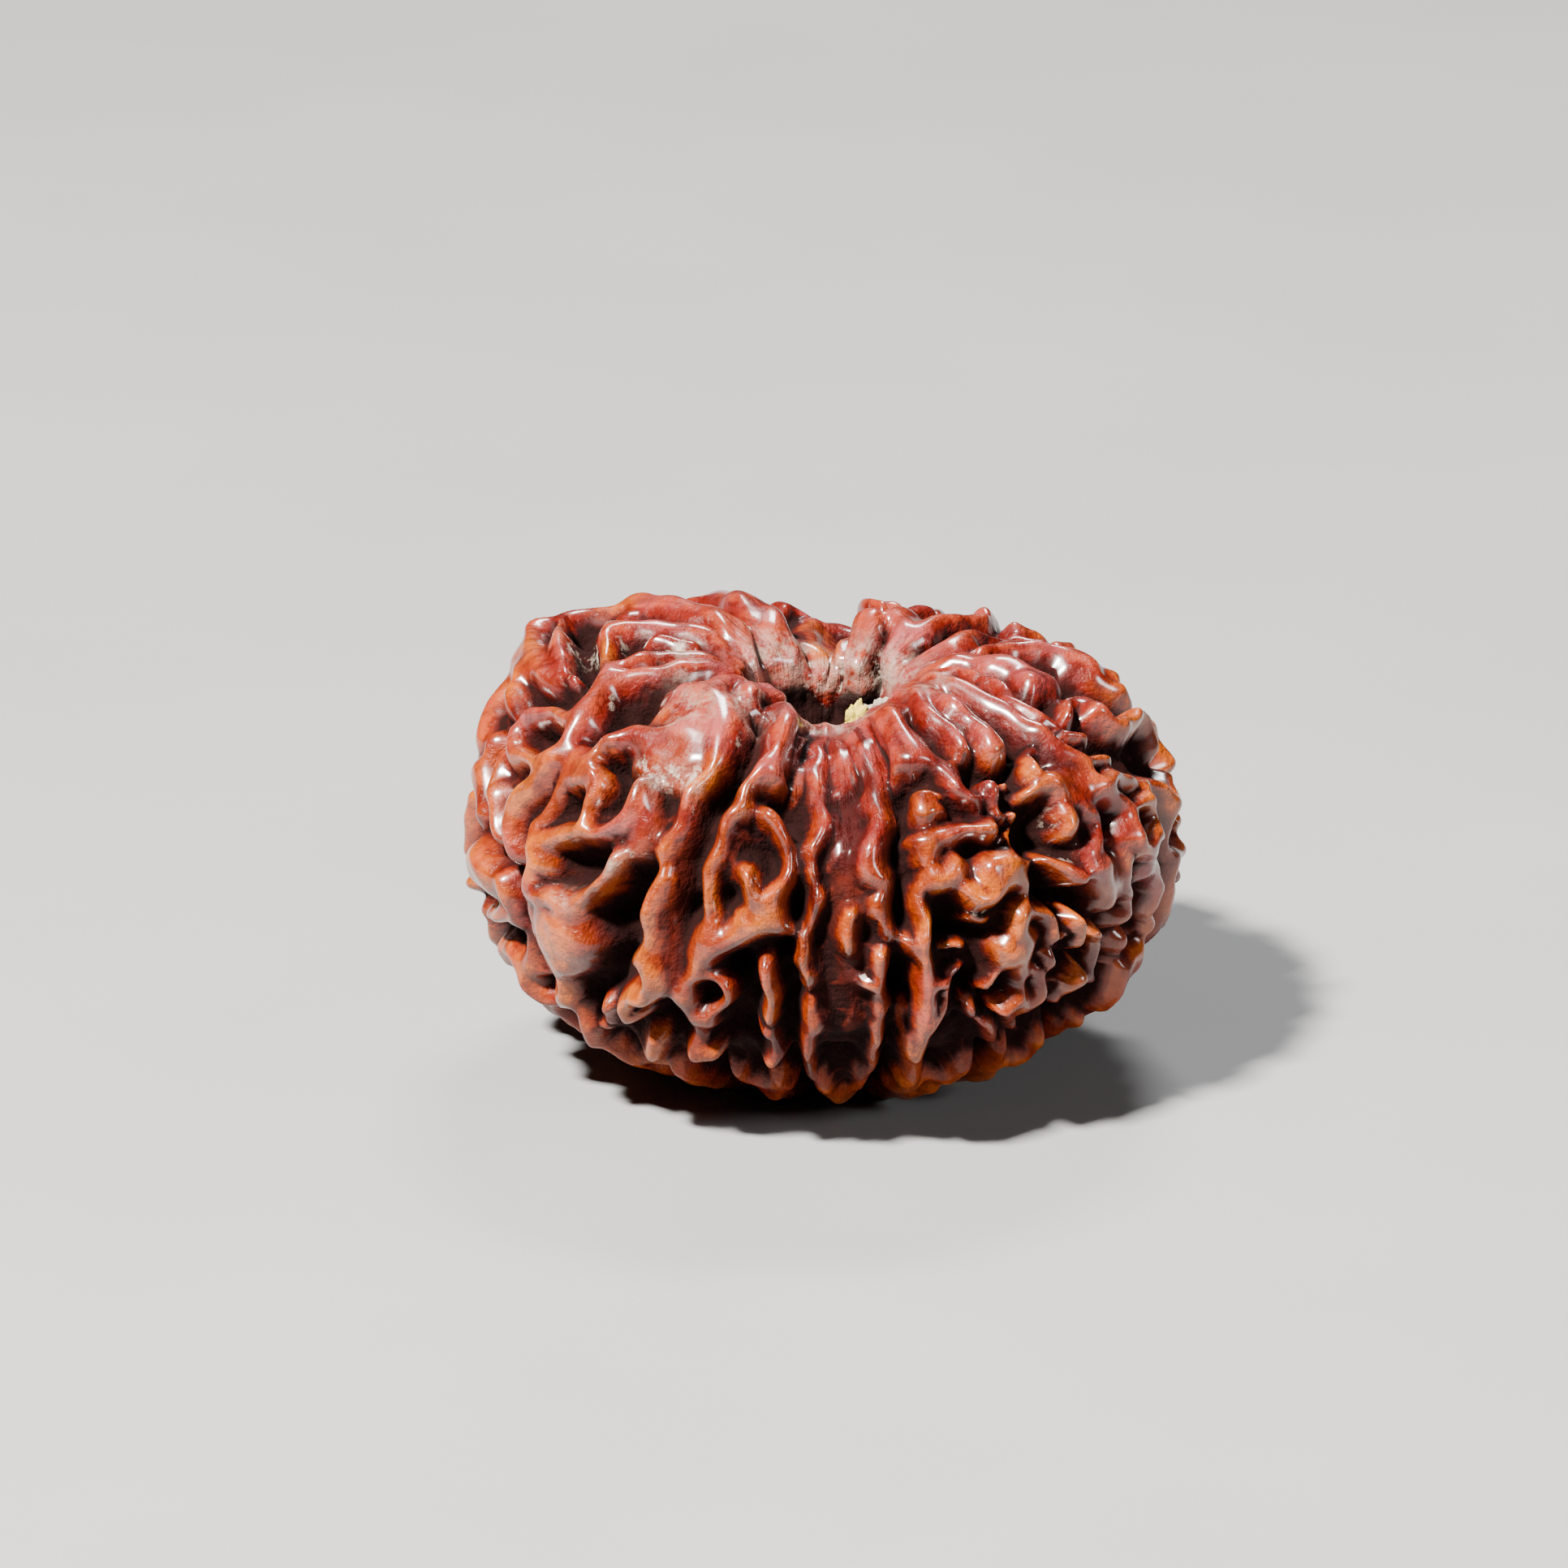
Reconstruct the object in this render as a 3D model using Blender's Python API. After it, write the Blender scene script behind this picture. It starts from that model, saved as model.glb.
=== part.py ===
"""Rudraksha seed, one solid grown in one piece.

A low, flattened ball with a natural hole along its axis. Fifteen clefts run from hole to hole. The faces
between them are netted with rounded ridges, loops and knobs that stand about a millimetre and a half above
the floors of their pits. The front (azimuth 0) looks along -Y.

A place on the seed is given by its azimuth, in degrees round the axis from the front towards +X, and by its
station, in millimetres along the skin from the upper throat, over the crown, to the lower throat.
"""
import math
import random

import bmesh
import bpy
import numpy as np

MM = 0.001

# Skin over the ridge tops: radius and height in millimetres, from the upper throat down to the lower one.
# It makes the seed 30 mm across and 18.5 mm high.
SKIN_PROFILE = [
    (2.88, 13.9), (3.1, 15.9), (3.55, 17.2), (4.9, 18.15), (6.6, 18.5), (8.7, 18.25), (11.3, 17.2),
    (13.3, 15.3), (14.6, 12.5), (15.0, 9.4), (14.5, 6.7), (13.2, 4.4), (11.1, 2.65), (8.7, 1.4), (6.4, 0.6),
    (4.6, 0.15), (3.1, 0.9), (2.35, 2.6), (2.15, 4.4),
]
PROFILE_STEPS = 40
# Wall of the natural hole, from the lower throat up: share of the upper throat's radius, and height.
HOLE_WALL = [(0.75, 4.4), (0.55, 5.4), (0.47, 7.0), (0.45, 11.0), (0.52, 12.6), (1.0, 13.9)]

# The crown dips in front, behind and on the right: azimuth, width in degrees at the mouth of the hole and
# further out, depth in millimetres.
CROWN_FROM = 9.0
CROWN_SPAN = 9.5
CROWN_DIPS = [(3, 29, 12, 1.9), (180, 9, 9, 1.5), (105, 70, 70, 0.9), (180, 50, 50, 0.3)]
# The outline seen from above: azimuth, width in degrees, share of the radius.
GIRTH_SWELLS = [(0, 60, -0.045), (180, 50, -0.045), (-118, 30, 0.03)]
# Full and lean places: azimuth, width in degrees, station, width along the skin, rise.
BULGES = [
    (-105, 35, 12.5, 3.5, 0.5), (-113, 13, 12.3, 1.8, 0.75), (-131, 10, 10.5, 2.0, -0.35),
    (-66, 13, 23.7, 2.2, -0.5), (66, 16, 22.5, 3.2, -0.8), (46, 12, 26.5, 2.5, -0.4),
]

PIT_DEPTH = 1.6
HOLE_PIT_DEPTH = 0.8      # the pits are shallower towards both holes
PIT_RIPPLE = 0.2
RIPPLE_WAVES = 7
TALLEST_CAP = 0.9         # rise of a broad ridge's rounded top
BLEND_POWER = 10          # how sharply two ridges keep apart where they meet

# Clefts: azimuth on the crown (up to station 9) and azimuth from the girth down (from station 18).
CLEFTS = [
    (-167, -167), (-138, -140), (-117, -119), (-85, -82), (-52, -60), (-18, -24), (-5, -5.5), (12, 12.5),
    (27, 37), (46, 58), (64, 78), (100, 97), (128, 125), (148, 148), (176, 176),
]
CLEFT_EXTRA = 0.5
CLEFT_HALF_WIDTH = 0.42
CLEFT_DIP = 0.55          # ridges and floors alike sink towards the clefts
CLEFT_DIP_WIDTH = 0.85
RIDGE_RIPPLE = 0.1        # unevenness of the ridge tops

AZIMUTH_STEPS = 380
SKIN_STEPS = 210
WALL_STEPS = 22
FACES_WANTED = 10400
REST_CUT = 0.25           # taken off the lowest ridges, so that the seed rests on small flats
SEED = 15

SHELL_COLOUR = (0.33, 0.085, 0.035, 1.0)
SHELL_ROUGHNESS = 0.32

# Ridges read off the seed: half-width in millimetres, share of the full height, and places along the ridge.
CROWN_LEFT = [
    (1.25, 1.00, [(-147, 1.1), (-148, 3), (-150, 4.5), (-151, 6.5), (-152, 8.5), (-152, 10.5)]),
    (0.95, 1.15, [(-118, 1.2), (-119, 3), (-124, 3.8), (-127.5, 5.2), (-128, 7), (-129, 8.8),
                  (-131, 10.6)]),
    (0.80, 1.00, [(-101, 3.4), (-106, 4.6), (-107, 6), (-105, 7.5), (-101, 8.7)]),
    (0.50, 1.00, [(-92, 5.5), (-94, 7.2)]),
    (0.60, 1.00, [(-76, 3.6), (-76, 5.8), (-78, 7.2), (-76.5, 8.3), (-73, 9.3)]),
    (0.75, 1.00, [(-58, 4.4), (-61, 5.4), (-64, 6.8), (-63.5, 8.2), (-68, 9.6)]),
    (0.55, 1.00, [(-121, 9.8), (-106, 9.3), (-92, 9.2), (-80, 9.4), (-71, 9.7)]),
    (0.40, 1.00, [(-118, 11.8), (-103, 11.3), (-90, 11), (-82, 10.9)]),
    (0.75, 1.00, [(-128, 10.8), (-122, 12), (-113, 12.9), (-103, 12.6), (-95, 12.2), (-86, 11.7)]),
    (0.60, 1.00, [(-105, 13.7), (-98, 13.4), (-93, 13)]),
    (0.90, 1.00, [(-99, 14.5), (-95, 15.3), (-90, 16)]),
    (0.70, 1.00, [(-90, 13.6), (-85, 14), (-80, 14.5)]),
    (0.80, 1.00, [(-37, 4.3), (-40, 5.6), (-40, 7), (-38, 8.5)]),
    (0.70, 1.00, [(-25, 4.5), (-29.5, 6), (-27, 7.2), (-22, 8)]),
]
CROWN_RIGHT = [
    (0.60, 1.00, [(-176, 1), (-177, 2.8), (-177, 5), (-178, 7), (-178, 9.5)]),
    (0.40, 1.00, [(173, 4), (173.5, 5.4)]),
    (0.55, 1.00, [(161, 1), (162, 2.6), (164, 4.5), (165, 6)]),
    (0.45, 1.00, [(153, 1.3), (155, 3), (157, 4.6), (158.5, 6.2)]),
    (0.40, 1.00, [(165, 6), (162, 6.6), (158.5, 6.2)]),
    (0.50, 1.00, [(152, 6.2), (151, 8)]),
    (0.80, 1.00, [(125, 1.2), (128, 3), (137, 4.4), (143, 5.6), (149, 7.3)]),
    (0.60, 1.00, [(134, 5.6), (137, 7), (138, 8.6), (136, 10)]),
    (1.00, 1.00, [(110, 1.8), (111, 3.2), (114, 5.5), (118, 6.6)]),
    (0.50, 1.00, [(121, 6.5), (124, 8), (126, 9.6)]),
    (0.60, 1.00, [(127, 10.3), (124, 11.5)]),
    (0.60, 1.00, [(119, 11.3), (116, 12.3)]),
    (0.65, 1.00, [(110, 12.6), (107, 13.6)]),
    (0.60, 1.00, [(103, 6.8), (108.5, 7.5), (112, 8.6), (109.5, 9.8), (107, 11), (106, 12.3),
                  (107.5, 13.3)]),
    (0.90, 1.00, [(97, 3.6), (93, 6.2), (88.5, 7.6), (83, 8.8)]),
    (0.95, 1.00, [(80, 9.1), (84, 9.2)]),
    (0.35, 1.00, [(86, 3.4), (82, 5), (74.5, 6.5), (68.5, 7.8), (64, 8.8)]),
    (0.40, 1.00, [(62.5, 8.3), (61, 9.6), (60.5, 10.8)]),
    (0.60, 1.00, [(63, 3.4), (60, 4.4), (56.5, 6), (55, 7.5), (54, 9), (54, 10.5), (55, 12),
                  (55.5, 12.6)]),
    (0.85, 1.00, [(48, 4), (45, 5.2), (41.5, 7), (41, 8.7), (40.5, 10.2), (40, 11.6)]),
    (0.50, 1.00, [(38, 4.6), (34, 6.5), (31.5, 8.3), (31.8, 9.8), (32.5, 11.4)]),
]
LEFT_FACES = [
    (0.55, 1.00, [(-63, 12.3), (-70, 12.6), (-76, 13.3), (-77.5, 14.1), (-75, 14.9), (-69, 14.9),
                  (-63, 14.4),
                  (-59.5, 13.5), (-60, 12.6), (-63, 12.3)]),
    (0.70, 1.00, [(-68, 10), (-65, 11), (-62, 11.8), (-59.5, 12.8)]),
    (0.50, 1.00, [(-86, 15.4), (-84, 16.4), (-82, 17.4)]),
    (0.50, 1.00, [(-79, 15.5), (-77, 16.3), (-75.5, 17.2)]),
    (0.70, 1.00, [(-86, 16.9), (-84, 17.8), (-80, 18.4)]),
    (0.50, 1.00, [(-74, 16.8), (-71.5, 17.8), (-69, 18.6)]),
    (0.60, 1.00, [(-60, 14.2), (-62, 15.3), (-65, 16.3), (-65.5, 17.2), (-64.5, 18), (-63, 18.8)]),
    (1.30, 1.00, [(-79, 20.4), (-71.5, 20.6)]),
    (0.60, 1.00, [(-66, 20), (-64.5, 21.4)]),
    (0.50, 1.00, [(-64, 22), (-70, 22.3), (-80, 23)]),
    (0.90, 1.00, [(-57.5, 18.2), (-57, 19), (-58, 19.9)]),
    (0.50, 1.00, [(-57, 18), (-53, 18.4)]),
    (1.50, 1.00, [(-46, 8.8), (-38, 9.2), (-30, 9.4), (-25, 10)]),
    (0.90, 1.00, [(-44, 9.8), (-36, 10.4), (-29, 10.8)]),
    (0.80, 1.00, [(-26, 10), (-23.5, 12)]),
    (0.60, 1.00, [(-51, 12.2), (-46, 11.5), (-40, 11.2), (-35, 10.9)]),
    (1.00, 0.82, [(-45, 11.7), (-37, 11.9), (-29.5, 12)]),
    (0.60, 0.60, [(-44, 12.8), (-36, 13.2), (-29, 13.3)]),
    (0.55, 1.00, [(-50, 12.4), (-54, 13.2), (-56, 14.2), (-57, 15.4), (-58, 16.3), (-59.5, 17.1),
                  (-57.5, 17.7),
                  (-52.5, 17.2), (-48, 16.7), (-44, 16.4), (-40.5, 16), (-38, 15.5), (-36.5, 14.8),
                  (-36.8, 14)]),
    (0.50, 1.00, [(-51, 13.4), (-52.5, 14.2), (-53.5, 15)]),
    (0.45, 1.00, [(-50.5, 14.5), (-47.5, 13.9), (-45.5, 14.3), (-47.3, 15.1), (-47, 15.8),
                  (-45.3, 16.3)]),
    (0.70, 0.75, [(-35, 14.3), (-34, 15.5), (-34.5, 16.8)]),
    (1.80, 1.00, [(-48, 21.4), (-51.5, 22.1)]),
    (0.50, 1.00, [(-37.5, 17.3), (-39.5, 18.2), (-42.5, 19), (-47, 19.7), (-51, 19.6), (-54, 19.9)]),
    (0.50, 1.00, [(-58.5, 20.9), (-58, 21.8)]),
    (0.60, 1.00, [(-60, 22.3), (-62.5, 23.3), (-64, 24.3), (-66, 25.3), (-64.5, 26), (-61, 26.4)]),
    (0.40, 1.00, [(-62, 24.6), (-58.5, 24.3), (-56.5, 24.8), (-53, 24.4), (-51.5, 23.8)]),
    (0.45, 1.00, [(-51.5, 23.8), (-51.5, 24.6), (-54.5, 25.3), (-58, 25.8)]),
    (0.65, 1.00, [(-50, 25.6), (-51, 26.6), (-52.5, 27.4)]),
    (0.40, 1.00, [(-42.5, 24.4), (-43.5, 25.4)]),
    (0.30, 1.00, [(-45.5, 26.2)]),
]
COLUMN = [
    (0.50, 1.00, [(-23.5, 12.6), (-25, 13.6), (-26.3, 14.8), (-28, 16), (-29.3, 16.7)]),
    (0.60, 1.00, [(-28.5, 17.4), (-30, 18.4), (-31, 19.3), (-30.3, 20.3), (-31, 21.2), (-29.5, 22.3)]),
    (0.40, 1.00, [(-31.5, 20.9), (-33.7, 21.5)]),
    (0.50, 1.00, [(-29, 22.4), (-31.5, 23), (-34.5, 23.3), (-37, 24), (-37.8, 24.8)]),
    (0.30, 1.00, [(-35.5, 24.8), (-33, 24.4)]),
    (0.60, 1.00, [(-32.5, 25.8), (-34.5, 26.5), (-36.5, 27.2)]),
    (0.50, 0.60, [(-24.5, 14), (-26, 17), (-27.5, 20), (-27, 23)]),
]
LADDER_FACE = [
    (0.50, 1.00, [(-15, 4.8), (-13.5, 6.8), (-12.5, 8.8), (-11.5, 10.5), (-13.5, 12.2), (-16, 13.2),
                  (-16.5, 14),
                  (-19, 14.8), (-19.5, 16), (-21.2, 17), (-20.3, 18.1), (-20.5, 19.2), (-22, 20.4),
                  (-23.3, 21.4),
                  (-24.5, 22.8), (-25, 24), (-24, 25), (-24.5, 25.6), (-25.5, 26.6)]),
    (0.95, 1.00, [(-13.5, 6.6), (-12, 8.8), (-10.5, 10.5), (-11, 11.6)]),
    (0.50, 1.00, [(-7.5, 12)]),
    (0.50, 1.00, [(-11.2, 14.1), (-8.5, 14.1), (-7, 14.8), (-6.8, 16), (-7.6, 17.1), (-9.5, 17.9),
                  (-12, 17.9),
                  (-13.8, 17.1)]),
    (0.60, 1.00, [(-8.5, 17.6), (-8, 18.6), (-7.3, 19.3)]),
    (0.80, 1.00, [(-11, 18.4), (-9.5, 18.8)]),
    (0.65, 1.00, [(-8.5, 19), (-13, 19.3), (-16, 19.9), (-19.5, 20.7), (-22.5, 21)]),
    (0.80, 1.00, [(-20.5, 19.8), (-21, 20.8)]),
    (0.30, 1.00, [(-15, 18.9), (-13.5, 18.6)]),
    (0.38, 1.00, [(-23, 21.9), (-20, 21.8), (-17.6, 22.1), (-16.7, 22.7), (-18, 23.3), (-21, 23.9),
                  (-24, 24.3)]),
    (0.60, 1.00, [(-24, 24.2), (-21.5, 24.3)]),
    (0.40, 1.00, [(-25.5, 26.6), (-23, 26.8), (-21.3, 26.1)]),
    (0.45, 1.00, [(-10, 20.8), (-9.6, 22.3), (-9.3, 23.8)]),
    (0.40, 1.00, [(-11.5, 24.8), (-9.5, 24.8), (-9, 25.8), (-11.3, 26.7)]),
    (0.25, 0.95, [(-9, 4.6), (-8.3, 6), (-7.8, 7.5), (-7.5, 9.5), (-7.2, 11)]),
    (0.25, 0.90, [(-4.5, 4.6), (-4.3, 6.5), (-4.2, 8.5), (-4, 10.5), (-4.5, 12)]),
]
NARROW_FACES = [
    (0.32, 1.00, [(-0.4, 4.8), (-0.5, 7), (-0.6, 9.8), (-0.6, 12.5), (-0.8, 14), (-2.2, 15.4),
                  (-2.4, 16.6)]),
    (0.35, 1.00, [(-1.8, 17.2), (-2.8, 18.8), (-4, 20.2), (-4.3, 21), (-2.8, 21.4), (-3.6, 22.1)]),
    (0.40, 1.00, [(-2.6, 22.9), (-2.3, 24), (-3.5, 25.2), (-3.8, 27), (-3.5, 28.4)]),
    (0.26, 0.90, [(4.2, 4.7), (3.8, 6.3), (3.5, 8), (3.4, 11)]),
    (0.20, 0.60, [(2, 12.5), (2.3, 14.5), (1.3, 15.6)]),
    (0.30, 1.00, [(4, 18.2), (3.9, 20.3)]),
    (1.00, 0.35, [(4, 9), (4, 14), (4.2, 20), (4, 26)]),
    (0.60, 1.00, [(11, 5), (9.8, 7), (9.2, 9.3), (8.8, 11), (9.3, 12.3), (9.5, 13.6)]),
    (0.75, 1.00, [(9.3, 13.8), (8.5, 15.2), (9, 16.3)]),
    (0.40, 1.00, [(9.8, 16.8), (10.4, 18), (11, 19.4)]),
    (0.35, 1.00, [(7.8, 17.6), (8.3, 18.3)]),
    (0.40, 1.00, [(9.6, 20.4), (9.8, 21.3)]),
    (0.45, 1.00, [(9.6, 21.6), (9.8, 23.4)]),
    (0.38, 1.00, [(9.8, 24), (9.7, 25.6)]),
    (0.28, 1.00, [(9.4, 26.1), (9.4, 27), (10, 27.8)]),
    (0.25, 1.00, [(6.4, 21.7), (8.5, 22)]),
    (0.42, 1.00, [(16, 17.4), (16.1, 18.6), (16.5, 19.8)]),
    (0.50, 1.00, [(16.8, 20), (17, 21.2), (16.8, 22.4), (17, 23.4), (17.6, 24.6)]),
    (0.55, 1.00, [(17.4, 24.8), (16.2, 25.8), (16.8, 26.8), (18.4, 28.3)]),
    (0.30, 1.00, [(19, 21.9), (21, 22.3), (20.8, 23.2), (19, 24)]),
    (0.25, 1.00, [(12.7, 19.7), (14.6, 20.5)]),
    (0.25, 1.00, [(13.6, 23.4), (13.9, 24.6), (15.2, 25.2)]),
    (0.20, 1.00, [(21, 20.5), (23, 20.3), (24.3, 20.5)]),
    (0.20, 1.00, [(20.5, 22), (24, 21.6)]),
    (0.35, 1.00, [(18, 5), (16, 6.8), (15, 8.7), (15.3, 10), (14, 11.3)]),
]
HOOKED_FACE = [
    (1.00, 1.00, [(25, 4.8), (21.5, 6.8), (18.8, 8.7), (20.5, 10), (21.5, 11)]),
    (0.80, 1.00, [(18.5, 11.3), (22, 11.4), (25.5, 11.8), (27.3, 12.5)]),
    (0.50, 1.00, [(26.5, 13.1), (28.3, 13.7), (30.3, 13.9)]),
    (0.60, 0.90, [(17, 13.8), (19.3, 14.1)]),
    (0.20, 1.00, [(16.5, 12.9), (22.3, 13.4)]),
    (0.40, 0.80, [(22.5, 14.2)]),
    (0.48, 1.00, [(15.8, 15.1), (20, 15.3), (26, 15.5), (31, 15.3)]),
    (0.55, 1.00, [(29.5, 15.4)]),
    (0.50, 1.00, [(16.5, 15.9), (18.8, 15.8)]),
    (0.55, 1.00, [(17.8, 17), (20.3, 17.4), (23.3, 16.8)]),
    (0.90, 1.00, [(31, 17.4), (34, 17.6)]),
    (0.45, 1.00, [(28, 17.6), (29.3, 16.9), (32.3, 16.6), (34.8, 17.1), (35.9, 18), (35.3, 19)]),
    (0.50, 1.00, [(24.3, 18), (26.8, 18.5), (29.5, 18.1)]),
    (0.50, 1.00, [(32.8, 19.2), (34.6, 19.1)]),
    (0.25, 1.00, [(25, 19.1), (27.6, 19.5)]),
    (0.95, 1.00, [(31.5, 21), (34.8, 20.7)]),
    (0.60, 1.00, [(33.5, 19.7), (36, 20.6), (35.8, 21.5)]),
    (0.45, 1.00, [(35, 22.1), (35.8, 23.2), (36.8, 24.4), (37, 25.2)]),
    (0.38, 1.00, [(31.2, 23.9), (33.5, 23.6), (35.2, 23.3)]),
    (0.22, 1.00, [(29.6, 22.1), (28.2, 22.9)]),
    (0.18, 1.00, [(33, 15.9), (37, 15.6)]),
    (0.25, 1.00, [(35, 16.1), (36.5, 16.8), (38, 17.3)]),
    (0.35, 1.00, [(31.5, 25.3), (33.5, 25.8), (36, 27)]),
    (0.35, 1.00, [(37, 25.3), (39, 26.3)]),
    (0.30, 1.00, [(25.5, 23.6), (26.3, 24.3)]),
    (0.30, 1.00, [(28.2, 24.7), (30, 25)]),
    (0.50, 1.00, [(33.5, 13.2), (35, 13.8)]),
    (0.32, 1.00, [(35, 13.9), (34.8, 15)]),
    (0.30, 1.00, [(38.5, 13.2)]),
    (0.38, 1.00, [(37.5, 14.9)]),
]
LUMP_FACE = [
    (0.50, 1.00, [(44, 13), (46.5, 12.4), (49, 12.1)]),
    (0.75, 1.00, [(46.8, 13.9), (49.5, 13.6), (52.3, 14.1), (53.8, 14.9), (53.8, 15.7)]),
    (0.50, 1.00, [(47.3, 14.5), (50, 14.8), (52.5, 15.2)]),
    (0.35, 0.80, [(41, 14.1), (46.5, 13.9)]),
    (0.50, 1.00, [(47, 15.4), (48.3, 15.9), (46.5, 16.3)]),
    (0.45, 1.00, [(53.5, 15.9), (55.5, 16.5), (54, 17.1), (50.3, 17.4)]),
    (0.45, 1.00, [(41, 17.3), (44.5, 18), (47.3, 18.7)]),
    (0.55, 1.00, [(53.3, 12.6), (57, 13.4), (58.2, 14.2), (57.5, 15)]),
    (1.05, 1.00, [(52.5, 18.4), (54.8, 19), (57.3, 19.8)]),
    (0.80, 1.00, [(56, 20.3), (59, 20.4)]),
    (0.40, 1.00, [(63, 18), (59.3, 18.2), (60.3, 18.9), (62, 19.8), (63.5, 20.6), (65, 21.6),
                  (62.5, 22)]),
    (0.42, 1.00, [(37, 19.3), (39.5, 19.4), (41, 20.1), (41, 21)]),
    (0.30, 1.00, [(39.8, 21.6), (41.6, 22.3)]),
    (0.33, 1.00, [(37.6, 22.2), (39.5, 22.7), (40, 23.4), (38.8, 24.6)]),
    (0.42, 1.00, [(45.8, 20.4), (47.5, 21.1), (48.4, 21.9)]),
    (0.20, 1.00, [(42, 21), (44.3, 21.3)]),
    (0.48, 1.00, [(53, 21.6), (55, 22.4), (55.6, 23.4), (57.5, 24.6)]),
    (0.35, 1.00, [(49.5, 23.1), (53, 24), (58.5, 24.8)]),
    (0.30, 1.00, [(45.2, 23.4), (46.4, 24), (46.3, 24.9)]),
    (0.33, 1.00, [(47.7, 23.3), (49, 23.9)]),
]
RIGHT_FACES = [
    (0.45, 1.00, [(59.5, 14.8), (65, 14.9), (69, 15.5)]),
    (0.30, 1.00, [(69, 15.3), (75, 16.1), (80, 16.8)]),
    (0.55, 1.00, [(58.3, 15.2), (61.5, 15.8), (64, 16.4), (62.3, 17.2), (59.5, 17.6)]),
    (0.45, 1.00, [(64.5, 16.7), (70, 16.6), (73.3, 17.2), (72.5, 18), (67.5, 18.4), (63.5, 18.2),
                  (64.5, 16.7)]),
    (0.62, 1.00, [(75, 16.2), (79, 16.8), (80.5, 17.6)]),
    (0.35, 1.00, [(73.3, 18.7), (76, 19)]),
    (0.60, 1.00, [(67, 19.9), (71, 20.3), (74, 21.2), (73.5, 22.2)]),
    (0.35, 1.00, [(66, 18.9), (71, 19.4), (72.5, 20)]),
    (0.45, 1.00, [(89, 13.6), (94, 14.8), (93, 16.3)]),
    (0.55, 1.00, [(80, 13.2), (84, 13.8), (88, 14)]),
    (0.30, 1.00, [(61, 13.7), (66, 14)]),
    (0.50, 1.00, [(69, 11.3), (73, 10.7), (78, 10.8), (80, 11.5), (75, 12.2)]),
    (0.50, 1.00, [(75.5, 12.2), (77.5, 13), (80, 13.8)]),
    (0.38, 1.00, [(62, 12), (65.3, 12.6)]),
    (0.35, 1.00, [(63, 11.2)]),
]
# Stretches with no ridge of their own to read: left and right azimuth, first and last station.
NETTED_FACES = [
    (78, 97, 17.5, 28.5), (97, 125, 11.0, 28.5), (125, 148, 11.0, 28.5), (148, 176, 8.8, 28.5),
    (176, 193, 9.8, 28.5), (193, 220, 11.0, 28.5), (220, 241, 12.6, 28.5), (241, 278, 17.5, 28.5),
    (278, 297, 24.2, 28.5), (62, 78, 23.2, 28.5),
]
# Deeper hollows: radius in millimetres, azimuth, station.
DEEP_PITS = [
    (0.6, -50, 15.9), (0.6, -42, 15), (0.5, -49, 13.2), (0.5, -43, 13.2), (0.85, -69, 13.8),
    (0.85, -62, 13.5), (0.7, -104, 10.1), (0.7, -88, 10), (0.4, -105, 11.9), (0.45, -86, 12),
    (0.45, -79, 11.8), (0.4, -73, 11.2), (0.7, -56, 9.6), (0.7, -49, 10), (0.9, -50, 18.4),
    (0.9, -44.5, 18), (1.2, -38, 18.5), (1.2, -35, 20), (1.2, -36, 22), (0.8, -86, 19.2),
    (0.8, -74, 19), (0.35, -60.5, 19.2), (0.8, -13, 15.5), (0.8, -10, 15.6), (0.5, -9, 13),
    (0.45, -17.5, 18.2), (0.5, -20, 22.6), (1.0, -14, 22), (1.0, -15, 24.5), (0.45, 25, 16.8),
    (1.0, 21, 19), (1.0, 27, 20.5), (1.2, 23, 22.5), (1.2, 28, 23), (0.9, 41, 15.6),
    (0.55, 68, 17.8), (0.8, 46, 11), (1.0, 44, 19.3), (1.0, 48, 19.6), (0.8, -51, 6.8),
    (0.6, -167, 4.8), (0.5, 148, 5.2), (0.4, 108, 6.8), (0.7, 96, 11),
]
PIT_EXTRA = 0.4


def clear_scene():
    for thing in list(bpy.data.objects):
        bpy.data.objects.remove(thing, do_unlink=True)


def smooth_curve(points, steps):
    """A Catmull-Rom curve through the points."""
    given = np.array(points, float)
    run = np.vstack([2 * given[0] - given[1], given, 2 * given[-1] - given[-2]])
    share = np.linspace(0, 1, steps, endpoint=False)[:, None]
    pieces = []
    for before, start, end, after in zip(run, run[1:], run[2:], run[3:]):
        pieces.append(0.5 * (2 * start + (end - before) * share
                             + (2 * before - 5 * start + 4 * end - after) * share**2
                             + (3 * start - before - 3 * end + after) * share**3))
    pieces.append(given[-1:])
    return np.vstack(pieces)


SKIN_CURVE = smooth_curve(SKIN_PROFILE, PROFILE_STEPS)
SKIN_STATION = np.concatenate([[0.0], np.cumsum(np.linalg.norm(np.diff(SKIN_CURVE, axis=0), axis=1))])
SKIN_LENGTH = SKIN_STATION[-1]
SKIN_WAY = np.gradient(SKIN_CURVE, axis=0)
SKIN_OUT = np.stack([-SKIN_WAY[:, 1], SKIN_WAY[:, 0]], axis=-1)
SKIN_OUT = SKIN_OUT / np.linalg.norm(SKIN_OUT, axis=1)[:, None]


def ease(low, high, value):
    share = np.clip((value - low) / (high - low), 0.0, 1.0)
    return share * share * (3 - 2 * share)


def turn_gap(azimuth, centre):
    """Azimuth measured from a centre, between -180 and 180 degrees."""
    return (azimuth - centre + 180.0) % 360.0 - 180.0


def hump(azimuth, centre, width):
    return np.exp(-(turn_gap(azimuth, centre) / width) ** 2)


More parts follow.
